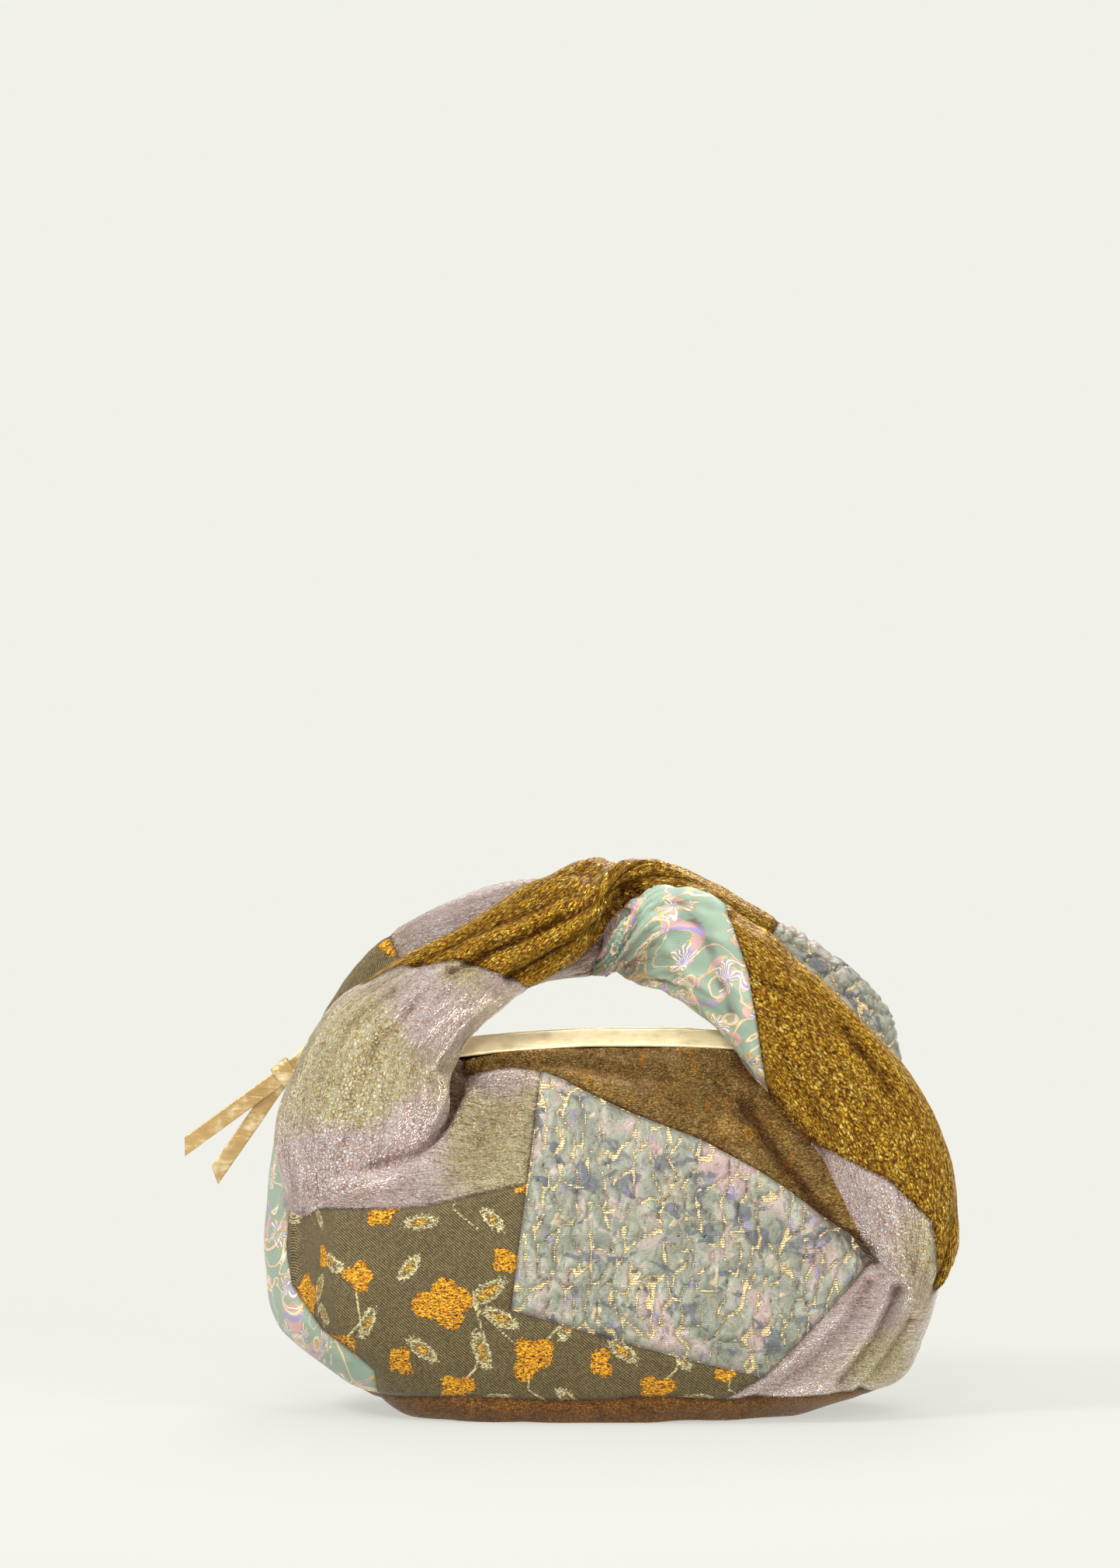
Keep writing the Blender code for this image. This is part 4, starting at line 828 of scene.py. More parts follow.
class Value:
    """A node's output in a sum. Each operator adds a Math node."""

    def __init__(self, nodes, socket):
        self.nodes, self.socket = nodes, socket

    def maths(self, operation, *others, swap=False):
        given = (*others, self) if swap else (self, *others)
        return self.nodes.node("Math", {"operation": operation}, dict(enumerate(given)))

    def __add__(self, other):
        return self.maths("ADD", other)

    def __sub__(self, other):
        return self.maths("SUBTRACT", other)

    def __mul__(self, other):
        return self.maths("MULTIPLY", other)

    def __truediv__(self, other):
        return self.maths("DIVIDE", other)

    def __pow__(self, other):
        return self.maths("POWER", other)

    def __radd__(self, other):
        return self.maths("ADD", other, swap=True)

    def __rsub__(self, other):
        return self.maths("SUBTRACT", other, swap=True)

    def __neg__(self):
        return 0 - self

    def __abs__(self):
        return self.maths("ABSOLUTE")

    def step(self, low, high):
        """A soft step from 0 at low to 1 at high."""
        settings = {"interpolation_type": "SMOOTHSTEP"}
        return self.nodes.node("MapRange", settings, {0: self, 1: low, 2: high, 3: 0.0, 4: 1.0})

    def line(self, half, edge):
        """1 where the value is within half of 0, fading out at edge."""
        return 1 - abs(self).step(half, edge)

    def wave(self, pitch):
        """A sine between 0 and 1 that comes back at each pitch."""
        return (self * (2 * pi / pitch)).maths("SINE") * 0.5 + 0.5

    def or_(self, *others):
        """The largest of this and the others."""
        largest = self
        for other in others:
            largest = largest.maths("MAXIMUM", other)
        return largest


def paint(shade):
    """Three numbers are a colour of the photograph; a Value or four numbers stay as they are."""
    if isinstance(shade, Value):
        return shade
    return colour(*shade) if len(shade) == 3 else tuple(shade)


class Nodes:
    """Adds nodes to a tree and links them."""

    def __init__(self, tree):
        self.tree = tree

    def node(self, kind, settings=None, inputs=None, output=0):
        made = self.tree.nodes.new("ShaderNode" + kind)
        for name, setting in (settings or {}).items():
            setattr(made, name, setting)
        for key, given in (inputs or {}).items():
            self.give(made.inputs[key], given)
        return None if output is None else Value(self, made.outputs[output])

    def give(self, socket, given):
        """Links a Value to a socket, or sets a plain number or colour on it."""
        if isinstance(given, Value):
            self.tree.links.new(given.socket, socket)
        elif given is not None:
            socket.default_value = given

    def parts(self, vector):
        return [self.node("SeparateXYZ", None, {0: vector}, k) for k in range(3)]


class Finish(Nodes):
    """A material built from its own nodes."""

    def __init__(self, name, metallic=0.0, roughness=0.5, sheen=0.0):
        self.material = bpy.data.materials.new(name)
        self.material.use_nodes = True
        super().__init__(self.material.node_tree)
        self.shader = self.tree.nodes["Principled BSDF"]
        for socket, number in (("Metallic", metallic), ("Roughness", roughness), ("Sheen Weight", sheen)):
            self.shader.inputs[socket].default_value = number

    def read(self, name, output="Fac"):
        return self.node("Attribute", {"attribute_name": name}, output=output)

    def object_place(self):
        """The place on the object, in millimetres."""
        return self.scaled(self.node("TexCoord", output="Object"), 1000, 1000, 1000)

    def cloth_place(self):
        """Cloth coordinates in millimetres, as a vector and as two values."""
        place = self.scaled(self.read("cloth", "Vector"), 1000, 1000, 1000)
        return (place, *self.parts(place)[:2])

    def scaled(self, vector, x, y, z=1):
        """A vector times three numbers."""
        return self.node("VectorMath", {"operation": "MULTIPLY"}, {0: vector, 1: (x, y, z)})

    def moved(self, vector, x, y):
        return self.node("VectorMath", {"operation": "ADD"}, {0: vector, 1: (x, y, 0)})

    def noise(self, place, scale, detail=2.0, rough=0.5, warp=0.0, shift=(0, 0)):
        """Noise at one scale, or at a scale of its own each way."""
        if isinstance(scale, tuple):
            place, scale = self.scaled(place, *scale), 1.0
        if any(shift):
            place = self.moved(place, *shift)
        return self.node("TexNoise", None,
                         {"Vector": place, "Scale": scale, "Detail": detail, "Roughness": rough, "Distortion": warp})

    def cell_edges(self, vector):
        return self.node("TexVoronoi", {"feature": "DISTANCE_TO_EDGE"},
                         {"Vector": vector, "Scale": 1.0, "Randomness": 1.0})

    def mix(self, share, first, second):
        return self.node("Mix", {"data_type": "RGBA"}, {0: share, 6: paint(first), 7: paint(second)}, 2)

    def shades(self, value, *stops):
        """A colour ramp with the given positions and colours."""
        ramp = self.node("ValToRGB", None, {0: value})
        elements = ramp.socket.node.color_ramp.elements
        while len(elements) < len(stops):
            elements.new(1.0)
        for element, (position, shade) in zip(elements, stops):
            element.position, element.color = position, paint(shade)
        return ramp

    def set(self, shade, roughness=None, metallic=None, height=None, depth=0.0003):
        for name, given in (("Base Color", shade), ("Roughness", roughness), ("Metallic", metallic)):
            self.give(self.shader.inputs[name], given)
        if height is not None:
            bump = self.node("Bump", None, {"Height": height, "Distance": depth, "Strength": 1.0})
            self.give(self.shader.inputs["Normal"], bump)
        return self.material


def dashes(finish, u, v, long, high):
    """A woven speckle: bricks of the given size, each with its own value, and the threads between their rows."""
    row = (v / high).maths("FLOOR")
    column = (u / long + row * BRICK_SHIFT).maths("FLOOR")
    brick = finish.node("CombineXYZ", None, {0: column, 1: row, 2: 0.0})
    speck = finish.node("TexWhiteNoise", {"noise_dimensions": "2D"}, {"Vector": brick})
    return speck, ((v / high).maths("FRACT") * pi).maths("SINE")


def painted_fold_shade_and_highlight(finish, shade, dark=0.55):
    """Painted shade darkens the cloth in the groove of a seam and in the hollows of its folds, and a painted
    highlight brightens their crests.
    """
    groove = 1 - (finish.read("seam") * 1000).step(0.15, 1.1)
    hollow = finish.read("hollow")
    # Painted highlight on the crests, then painted shade in the hollows
    shade = finish.mix((-hollow).step(0.0, 1.2), shade, finish.scaled(shade, *CREST_LIGHT))
    shade = finish.mix(hollow.step(0.0, 1.5) * 0.8, shade, finish.scaled(shade, *HOLLOW_SHADE))
    # Painted shade: a dark brown mixed in along the seam's groove
    return finish.mix(groove * dark, shade, (62, 46, 28)), groove


def crinkled(name, metallic, roughness, brick, scale, gap, shift=(0, 0)):
    """The start of each metallic cloth: its finish and place, its speckle and threads, its scales and their gaps."""
    finish = Finish(name, metallic, roughness)
    place, u, v = finish.cloth_place()
    speck, thread = dashes(finish, u, v, *brick)
    scales = finish.scaled(place, *scale)
    crackle = finish.cell_edges(finish.moved(scales, *shift) if any(shift) else scales)
    return finish, place, speck, thread, crackle, 1 - crackle.step(0.02, gap)


def blush_cloth(c):
    finish, place, speck, thread, crackle, lines = crinkled(
        "blush_lame", 0.65, 0.34, brick=(0.95, 0.40), scale=(0.62, 1.35), gap=0.18, shift=(3, 5))
    patchy, grain = finish.noise(place, 0.13, 3.0), finish.noise(place, 1.7, 2.0, 0.6)
    rays = (finish.noise(place, (0.04, 0.50)) - 0.5).line(0.0, 0.045)
    tone = (finish.read("tone") + (finish.noise(place, 0.30, 3.0) - 0.5) * 0.6).step(0.22, 0.78)
    ground = finish.mix(tone, c.blush, c.pale_gold)
    # bright and deep serve the painted highlight and painted shade of the crinkle, as well as the speckle, crackle
    # and gathers' lines
    bright = finish.mix(tone, (255, 246, 246), (252, 246, 214))
    deep = finish.mix(tone, (146, 100, 88), (126, 96, 48))
    clump = finish.noise(place, (0.45, 0.70), 4.0, 0.68, shift=(9, 2))
    # Painted shade in the crinkle's low clumps and painted highlight on its crests, which the bump also raises
    shade = finish.mix((1 - clump.step(0.34, 0.50)) * 0.50, ground, deep)
    shade = finish.mix(clump.step(0.45, 0.56) * 0.9, shade, bright)
    shade = finish.mix(speck ** 2.0 * 0.8, shade, bright)
    shade = finish.mix(lines * (0.15 + patchy * 0.55), shade, deep)
    shade = finish.mix(grain.step(0.56, 0.70) * (1 - speck).step(0.35, 0.8) * 0.85, shade, deep)
    # Painted shade: fine dark lines in the grooves of the small gathers
    shade = finish.mix(rays * grain.step(0.40, 0.60) * 0.55, shade, deep)
    shade, groove = painted_fold_shade_and_highlight(finish, shade)
    height = crackle.step(0.0, 0.3) * 0.9 + speck * 0.5 + thread * 0.2 - groove - rays * 0.5 + clump * 2.2
    return finish.set(shade, 0.16 + patchy * 0.18, None, height, 0.0010)


def mustard_cloth(c):
    finish, place, speck, thread, crackle, lines = crinkled(
        "mustard_lame", 0.6, 0.36, brick=(1.25, 0.50), scale=(0.50, 1.0), gap=0.17)
    patchy, clump = finish.noise(place, 0.09, 4.0, 0.6), finish.noise(place, (0.40, 0.60), 4.0, 0.66)
    # The level follows the woven speckle and random patches, and also the crinkle's clumps that raise the bump: lower
    # clumps darker, higher ones brighter, which is painted shade and painted highlight
    level = speck * 0.66 + patchy * 0.45 + (clump - 0.5) * 1.5
    shade = finish.shades(level, (0.0, (52, 27, 5)), (0.30, (150, 96, 14)), (0.56, c.mustard),
                          (0.84, (252, 204, 62)), (1.0, (255, 236, 140)))
    shade = finish.mix(lines * (0.25 + patchy * 0.8), shade, (56, 30, 6))
    shade, groove = painted_fold_shade_and_highlight(finish, shade)
    height = crackle.step(0.0, 0.3) + speck * 0.6 + thread * 0.4 - groove + clump * 1.6
    return finish.set(shade, 0.24 + patchy * 0.22, None, height, 0.0009)


def bronze_cloth(c, name="bronze_lame", share=(1, 1, 1)):
    finish, place, speck, thread, crackle, lines = crinkled(
        name, 0.7, 0.4, brick=(0.9, 0.38), scale=(0.7, 1.1), gap=0.14)
    flecks = finish.noise(place, (0.16, 0.10), 3.0, 0.65).step(0.60, 0.68)
    clump = finish.noise(place, (0.40, 0.55), 4.0, 0.66)
    # The level follows the speckle and random patches, and also the crinkle's clumps that raise the bump: lower
    # clumps darker, higher ones brighter, which is painted shade and painted highlight
    level = speck * 0.5 + finish.noise(place, 0.12, 3.0) * 0.5 + (clump - 0.5) * 0.9 - 0.06
    shade = finish.shades(level, (0.0, (70, 50, 20)), (0.45, c.bronze), (0.8, (196, 170, 112)),
                          (1.0, (236, 220, 168)))
    golden = finish.noise(place, (0.055, 0.075), 3.0, 0.6, shift=(4, 1)).step(0.48, 0.66)
    shade = finish.mix(golden * 0.65, shade, finish.mix(speck, (128, 82, 22), (226, 182, 96)))
    shade = finish.mix(flecks * (0.35 + speck * 0.6), shade, (214, 142, 30))
    shade = finish.mix(lines * 0.45, shade, (84, 62, 32))
    # share scales the whole colour; for the base band it is painted shade where the band faces down
    shade, groove = painted_fold_shade_and_highlight(finish, finish.scaled(shade, *share))
    height = crackle.step(0.0, 0.3) * 0.8 + speck * 0.5 + thread * 0.4 - groove + clump * 1.4
    return finish.set(shade, 0.30 + speck * 0.14, None, height, 0.0008)


def twill_cloth(c):
    finish = Finish("olive_twill", metallic=0.22, roughness=0.5, sheen=0.1)
    place, u, v = finish.cloth_place()
    rib, yarn = (u * 0.85 + v).wave(1.15), u.wave(0.42)
    speck, _ = dashes(finish, u, v, 0.6, 0.6)
    level = rib * 0.55 + yarn * 0.15 + speck * 0.3
    ground = finish.shades(level, (0.12, (34, 26, 10)), (0.5, c.twill), (0.92, (146, 128, 78)))
    scribble = finish.noise(finish.scaled(place, 0.9, 2.0), 0.9, 2.0, 0.6, 1.2)
    ragged = (finish.noise(place, 0.8, 4.0, 0.7) - 0.5) * 3.4
    # Embroidered blossoms, and leaves with a rim and a heart on thin stems; distances are in millimetres
    blossom = (finish.read("blossoms") * 1000 + ragged).step(-0.15, 0.25)
    leaf = finish.read("leaves") * 1000 + ragged * 1.3
    rim = (leaf - 0.35).line(0.40, 0.70) * scribble.step(0.40, 0.48)
    stem = 1 - (finish.read("stems") * 1000 + ragged * 0.2).step(0.25, 0.5)
    petals = finish.shades(scribble, (0.41, (60, 32, 8)), (0.47, (196, 120, 8)), (0.53, c.blossom),
                           (0.62, (255, 206, 50)))
    silver = finish.shades(scribble, (0.34, (112, 96, 50)), (0.48, (206, 190, 130)), (0.66, (250, 240, 196)))
    shade = finish.mix(stem.or_(rim), ground, silver)
    shade = finish.mix(leaf.step(1.0, 1.3) * scribble.step(0.46, 0.56), shade, petals)
    shade, groove = painted_fold_shade_and_highlight(finish, finish.mix(blossom, shade, petals))
    raised = stem.or_(rim, blossom)
    height = raised * (0.9 + scribble * 1.6) + rib * 0.40 * (1 - raised) + yarn * 0.1 - groove
    return finish.set(shade, 0.5 - raised * 0.12, 0.18 + raised * 0.35, height, 0.00032)


def sage_cloth(c):
    finish = Finish("sage_jacquard", metallic=0.05, roughness=0.42, sheen=0.15)
    place, u, v = finish.cloth_place()
    rib, fine = v.wave(0.55), u.wave(0.38)
    lilac, cream = (160, 148, 196), (246, 244, 224)
    ground = finish.mix(rib * 0.25 + finish.noise(place, 0.12) * 0.5, c.sage, (164, 180, 160))
    # Ribbons with a vein and a gold edge run along the middle level of one noise, leaves above a level of another
    flow = finish.noise(place, (0.050, 0.040), 1.0, 0.5, 1.6)
    ribbon = abs(flow - 0.5) * 100
    band, band_line = 1 - ribbon.step(2.0, 2.4), (ribbon - 2.6).line(0.25, 0.65)
    vein = (ribbon - 0.9).line(0.15, 0.4) * band
    leaves = finish.noise(place, (0.075, 0.060), 1.0, 0.5, 1.2, shift=(5, 2))
    leaf, leaf_line = leaves.step(0.590, 0.596), (leaves - 0.592).line(0.004, 0.011)
    # Fans: five-lobed palms in staggered rows, with fine rays
    wide, high = FAN_PITCH
    row = (v / high).maths("FLOOR")
    a = ((u / wide + row * 0.5).maths("FRACT") - 0.5) * wide + (flow - 0.5) * 18
    b = ((v / high).maths("FRACT") - 0.5) * high + (leaves - 0.5) * 14
    turn, reach = b.maths("ARCTAN2", a), (a * a + b * b) ** 0.5
    lobes = 3.2 + abs((turn * 2.5).maths("SINE")) * 3.6
    fan, fan_line = 1 - (reach - lobes).step(-0.1, 0.1), (reach - lobes).line(0.20, 0.42)
    rays = (turn * 15).maths("SINE").step(0.15, 0.75) * fan * (reach - 1.2).step(0.0, 0.3)
    petal = finish.mix(leaves.step(0.45, 0.55), (208, 168, 156), lilac)
    shade = finish.mix(leaf, ground, finish.mix((reach * 0.09).maths("FRACT").step(0.3, 0.7), lilac, (206, 164, 158)))
    shade = finish.mix(band, shade, finish.mix(flow.step(0.495, 0.505), (204, 146, 138), (196, 196, 168)))
    shade = finish.mix(fan * 0.55, shade, petal)
    shade = finish.mix((rays * 0.9).or_(vein), shade, cream)
    lined = band_line.or_(leaf_line, fan_line)
    shade = finish.mix(lined, shade, finish.mix(rib * 0.5, (204, 172, 84), (240, 224, 150)))
    shade, groove = painted_fold_shade_and_highlight(finish, shade, 0.45)
    drawn = band.or_(leaf, rays, lined)
    height = drawn * 0.8 + rib * 0.30 + fine * 0.15 - groove
    return finish.set(shade, 0.44 - drawn * 0.10, 0.06 + lined * 0.5, height, 0.00026)


def quilt_cloth(c):
    finish = Finish("quilted_brocade", metallic=0.3, roughness=0.34, sheen=0.1)
    place, _, v = finish.cloth_place()
    rib, bead = v.wave(0.50), v.wave(0.95)
    washed = finish.noise(place, (0.050, 0.035), 3.0, 0.6, 0.6)
    blot = finish.noise(place, (0.075, 0.10), 3.0, 0.55, 0.8, shift=(7, 3))
    spots = finish.noise(place, (0.15, 0.13), 2.0, 0.5, 0.5, shift=(2, 9))
    shade = finish.shades(washed, (0.36, (176, 149, 144)), (0.46, c.quilt), (0.56, (120, 125, 109)),
                          (0.68, (160, 152, 127)))
    for share, stain in (
            (blot.step(0.55, 0.62) * 0.85, (74, 78, 90)), ((1 - blot).step(0.58, 0.70) * 0.8, (190, 167, 161)),
            (spots.step(0.63, 0.70) * 0.6, (136, 118, 178)), ((1 - spots).step(0.64, 0.72) * 0.7, (220, 194, 150)),
            (rib * 0.14, (236, 238, 226))):
        shade = finish.mix(share, shade, stain)
    # Gold thread between the puffs, broken here and there, with a bead to each turn of it
    broken = finish.noise(place, (0.26, 0.16), 1.0).step(0.40, 0.46)
    glitter = finish.noise(place, 2.4, 1.0)
    gold = (1 - (finish.read("thread") * 1000 + (glitter - 0.5)).step(0.40, 0.72)) * broken
    lamella = finish.shades(bead * 0.4 + glitter * 0.8, (0.35, (150, 116, 60)), (0.50, (222, 192, 120)),
                            (0.70, (255, 242, 200)))
    shade, groove = painted_fold_shade_and_highlight(finish, shade, 0.4)
    shade = finish.mix(gold, shade, lamella)
    rumple = finish.noise(place, (0.42, 0.30), 3.0, 0.6, 0.8)
    # Painted shade: darker where the rumple, which also raises the bump, is low
    shade = finish.mix((1 - rumple.step(0.32, 0.50)) * 0.45, shade, (84, 80, 70))
    height = gold * (0.8 + glitter * 0.9) + rib * 0.25 - groove + rumple * 3.0
    return finish.set(shade, 0.34 - gold * 0.10, 0.28 + gold * 0.35, height, 0.0003)


def leather_finish(shade, name="pull_leather"):
    finish = Finish(name, metallic=0.4, roughness=0.3)
    place = finish.object_place()
    grain = finish.noise(place, 1.6, 3.0, 0.6)
    creases = finish.noise(place, (0.10, 0.35, 0.35), 3.0, 0.6, 1.0)
    wear = finish.noise(place, 0.16, 3.0)
    # Darker where wear and the bump's creases are low, near white where both are high: partly wear, partly painted
    # shade in the creases and painted highlight on their ridges
    worn_and_shaded = tuple(0.72 * s for s in shade[:3]) + (1,)
    shade = finish.shades(wear * 0.6 + creases * 0.4, (0.30, worn_and_shaded), (0.5, shade), (0.7, (255, 244, 204)))
    return finish.set(shade, 0.22 + wear * 0.22, None, creases * 1.5 + grain * 0.35, 0.0002)


def metal_finish(c):
    finish = Finish("gold_metal", metallic=1.0, roughness=0.22)
    place = finish.object_place()
    wear = finish.noise(place, 0.8, 3.0, 0.6)
    shade = finish.mix(wear.step(0.35, 0.7), (196, 142, 60), c.metal)
    return finish.set(shade, 0.16 + wear * 0.16, None, finish.noise(place, (0.5, 6.0, 6.0)), 0.00003)


def lining_finish():
    finish = Finish("lining_cloth", roughness=0.75, sheen=0.1)
    x, _, z = ((part * (2 * pi / 0.6)).maths("SINE") for part in finish.parts(finish.object_place()))
    weave = x * z
    return finish.set(finish.mix(weave * 0.5 + 0.5, (96, 76, 48), (134, 108, 70)), None, None, weave, 0.0001)


def board_finish():
    finish = Finish("stiffener_board", roughness=0.85)
    fibre = finish.noise(finish.object_place(), (0.3, 1.5, 1.5), 4.0, 0.7)
    return finish.set(finish.mix(fibre, (112, 92, 66), (150, 128, 98)), None, None, fibre, 0.0001)


def tape_finish():
    finish = Finish("zip_tape", roughness=0.8, sheen=0.1)
    rib = finish.parts(finish.object_place())[0].wave(0.7)
    return finish.set(finish.mix(rib, (70, 50, 24), (122, 90, 46)), None, None, rib, 0.0001)


# Zip: leather facings, teeth and tape

ZIP_LEFT_X, ZIP_RIGHT_X = -0.1105, 0.1030
FACING_INNER, FACING, BEAD = 0.0054, 0.0012, 0.0009
FACING_TOP, FACING_LIFT, FACING_SHORT, FACING_LEAST = 0.0011, 0.0004, 0.0008, 0.0030
TEETH_PITCH, TEETH_IN, TEETH_END, TAPE_END = 0.0021, 0.0029, 0.003, 0.004
# A tooth's rings: how far in, half length and half height; and the tape's section: across and up
TOOTH = ((0.0, 0.00042, 0.0011), (0.0006, 0.00055, 0.0012), (0.0012, 0.00050, 0.00115), (0.0018, 0.00060, 0.0010),
         (0.00205, 0.0003, 0.0005))
TAPE = np.array([(0.0022, -0.0003), (0.0064, -0.0003), (0.0095, -0.0016), (0.0095, -0.0010), (0.0064, 0.0003),
                 (0.0030, 0.0003), (0.0024, 0.0006), (0.0020, 0.0003)])


def zip_angle(x):
    return asin((x - ZIP_PEAK_X) / ZIP_RADIUS)


def along_zip(inset, count):
    return np.linspace(zip_angle(ZIP_LEFT_X + inset), zip_angle(ZIP_RIGHT_X - inset), count)


def on_zip(angle, y, rise):
    angle, y, rise = np.broadcast_arrays(angle, y, rise)
    reach = ZIP_RADIUS + rise
    return np.stack([ZIP_PEAK_X + reach * np.sin(angle), y, ZIP_PEAK_Z - ZIP_RADIUS + reach * np.cos(angle)], -1)


def mesh_object(name, points, faces, finish, check=True):
    mesh = bpy.data.meshes.new(name)
    mesh.from_pydata(np.asarray(points).tolist(), [], [tuple(face) for face in faces])
    if check:
        mesh.validate()
    mesh.shade_smooth()
    mesh.materials.append(finish)
    obj = bpy.data.objects.new(name, mesh)
    bpy.context.scene.collection.objects.link(obj)
    return obj


def faces_on(faces, side):
    """Faces as they are in front, and turned over at the back, where the rings run the other way round."""
    return faces if side < 0 else [tuple(reversed(face)) for face in faces]


def swept(name, rings, finish, side=-1):
    """A closed skin over rings of points."""
    return mesh_object(name, np.concatenate(rings), faces_on(tube_faces(len(rings), len(rings[0])), side), finish)


def facing_section(x):
    """The leather's section: from the mouth's edge up to a rolled edge beside the teeth, and back under it."""
    half_width, half_depth, square, _ = PLANS[-1]
    depth = half_depth * (1 - min(abs(x) / half_width, 0.995) ** square) ** (1 / square)
    low = MOUTH_HEIGHT - ZIP_PEAK_Z - FACING_LIFT
    outer = max(depth - FACING_SHORT, FACING_INNER + FACING_LEAST)
    middle = np.array([FACING_INNER + BEAD, FACING_TOP + BEAD])
    roll = [middle + 1.12 * BEAD * np.array([cos(a), sin(a)]) for a in np.linspace(radians(62), radians(290), 11)]
    start, end = np.array([outer, low + FACING]), middle + (BEAD * 1.9, BEAD * 0.1)
    slope = [start + (end - start) * t + (0, 0.0005 * sin(pi * t)) for t in np.linspace(0, 1, 7)]
    edge = [(outer + 0.0002, low), (outer + 0.0003, low + FACING * 0.6)]
    return np.array([*edge, *slope, *roll, (middle[0] + 2 * BEAD, FACING_TOP)])


def facing_piece(name, side, finish):
    rings = []
    for angle in along_zip(0, 180):
        shape = facing_section(ZIP_PEAK_X + ZIP_RADIUS * sin(angle))
        sway = 0.00022 * lumps(angle * 26, side * 3.0, 0.0, 11) + 0.00008 * lumps(angle * 110, side * 5.0, 0.0, 12)
        rings.append(on_zip(angle, side * (shape[:, 0] + sway), shape[:, 1] + 0.7 * sway))
    return swept(name, rings, finish, side)


def teeth_piece(name, side, finish):
    """Small blocks with a rounded nose and a bead; the rows stand half a pitch apart."""
    turn, step = np.linspace(0, 2 * pi, 10, endpoint=False), TEETH_PITCH / ZIP_RADIUS
    shape = np.array([[(half * cos(a), reach, high * sin(a)) for a in turn] for reach, half,
                      high in TOOTH]).reshape(-1, 3)
    faces = faces_on(tube_faces(len(TOOTH), len(turn)), side)
    first, last = zip_angle(ZIP_LEFT_X + TEETH_END), zip_angle(ZIP_RIGHT_X - TEETH_END)
    points, all_faces = [], []
    for k, angle in enumerate(np.arange(first, last, step) + (0.5 * step if side > 0 else 0)):
        points.append(on_zip(angle + shape[:, 0] / ZIP_RADIUS, side * (TEETH_IN - shape[:, 1]), shape[:, 2]))
        all_faces += [tuple(i + k * len(shape) for i in face) for face in faces]
    return mesh_object(name, np.concatenate(points), all_faces, finish)


def tape_piece(name, side, finish):
    rings = [on_zip(angle, side * TAPE[:, 0], TAPE[:, 1]) for angle in along_zip(TAPE_END, 90)]
    return swept(name, rings, finish, side)


# The pull: the lace through the ring, and the keeper round both strands

SLIDER_START_X = -0.1035
PIVOT_BACK, PIVOT_UP = 0.0020, 0.0048    # the ring's hinge, from the slider's middle on the zip's arc
RING_LENGTH, RING_WIRE, RING_ANGLE, RUN_GAP = 0.0058, 0.00055, radians(14), 0.0004
LACE_WIDTH, LACE, LACE_GAP, LACE_CUP, LACE_SLANT = 0.0062, 0.0010, 0.00015, 0.00018, 0.0022
KEEPER, KEEPER_LENGTH = np.array([-0.1268, 0.1349]), 0.0078
LOOP_TOP = np.array([-0.1102, 0.1474])
TAIL_LENGTH, TAIL_A, TAIL_B = 0.0500, radians(36), radians(55)
# The keeper's folds: the place along it and how far they swell
KEEPER_FOLDS = [
    (-1.0, -0.00055), (-1.0, -0.0001), (-0.93, 0.00012), (-0.6, 0.0002), (-0.3, 0.00005), (-0.22, -0.00012),
    (-0.14, 0.00008),
    (0.2, 0.00028), (0.55, 0.0002), (0.62, -0.00006), (0.70, 0.00012), (0.93, 0.0001), (1.0, -0.0001),
    (1.0, -0.00055),
]


def pull_pivot():
    angle = zip_angle(SLIDER_START_X)
    place = on_zip(angle, 0.0, PIVOT_UP)
    return np.array([place[0] - PIVOT_BACK * cos(angle), place[2] + PIVOT_BACK * sin(angle)]), angle


def lie_down(piece):
    """Gives the piece a mesh of its own; the limp leather is not laid down along the zip."""
    pivot, lean = pull_pivot()
    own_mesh(piece)


def lace_line():
    """The lace's middle line in X and Z, its depth, and how far it has turned from flat across to face front."""
    pivot, lean = pull_pivot()
    tilt = lean - RING_ANGLE
    bar = pivot + RING_LENGTH * np.array([-cos(tilt), sin(tilt)])
    wrap, lift = RING_WIRE + RUN_GAP + LACE / 2, LACE / 2 + LACE_GAP

    def tail(angle, lift, turn):
        """From the keeper out to the tail's end."""
        end = KEEPER + TAIL_LENGTH * np.array([-cos(angle), -sin(angle)])
        return [(KEEPER + (end - KEEPER) * 0.12, lift, turn), (KEEPER + (end - KEEPER) * 0.5, lift * 1.4, turn),
                (end, lift, turn)]

    stations = tail(TAIL_A, -lift, 1.0)[::-1]
    stations += [(KEEPER + (0.0040, 0.0032), -lift, 1.0), (LOOP_TOP - (0.0060, 0.0024), -lift, 0.7),
                 (LOOP_TOP, -lift / 2, 0.25)]
    for angle in (40, -10, -60, -110, -150):
        stations.append((bar + wrap * np.array([cos(radians(angle)), sin(radians(angle))]), 0.0, 0.0))
    stations += [(bar + (-0.0055, -0.0010), lift / 2, -0.35), (KEEPER + (0.0040, 0.0028), lift, -1.0)]
    return np.array([(p[0], y, p[1], turn) for p, y, turn in stations + tail(TAIL_B, lift, -1.0)])


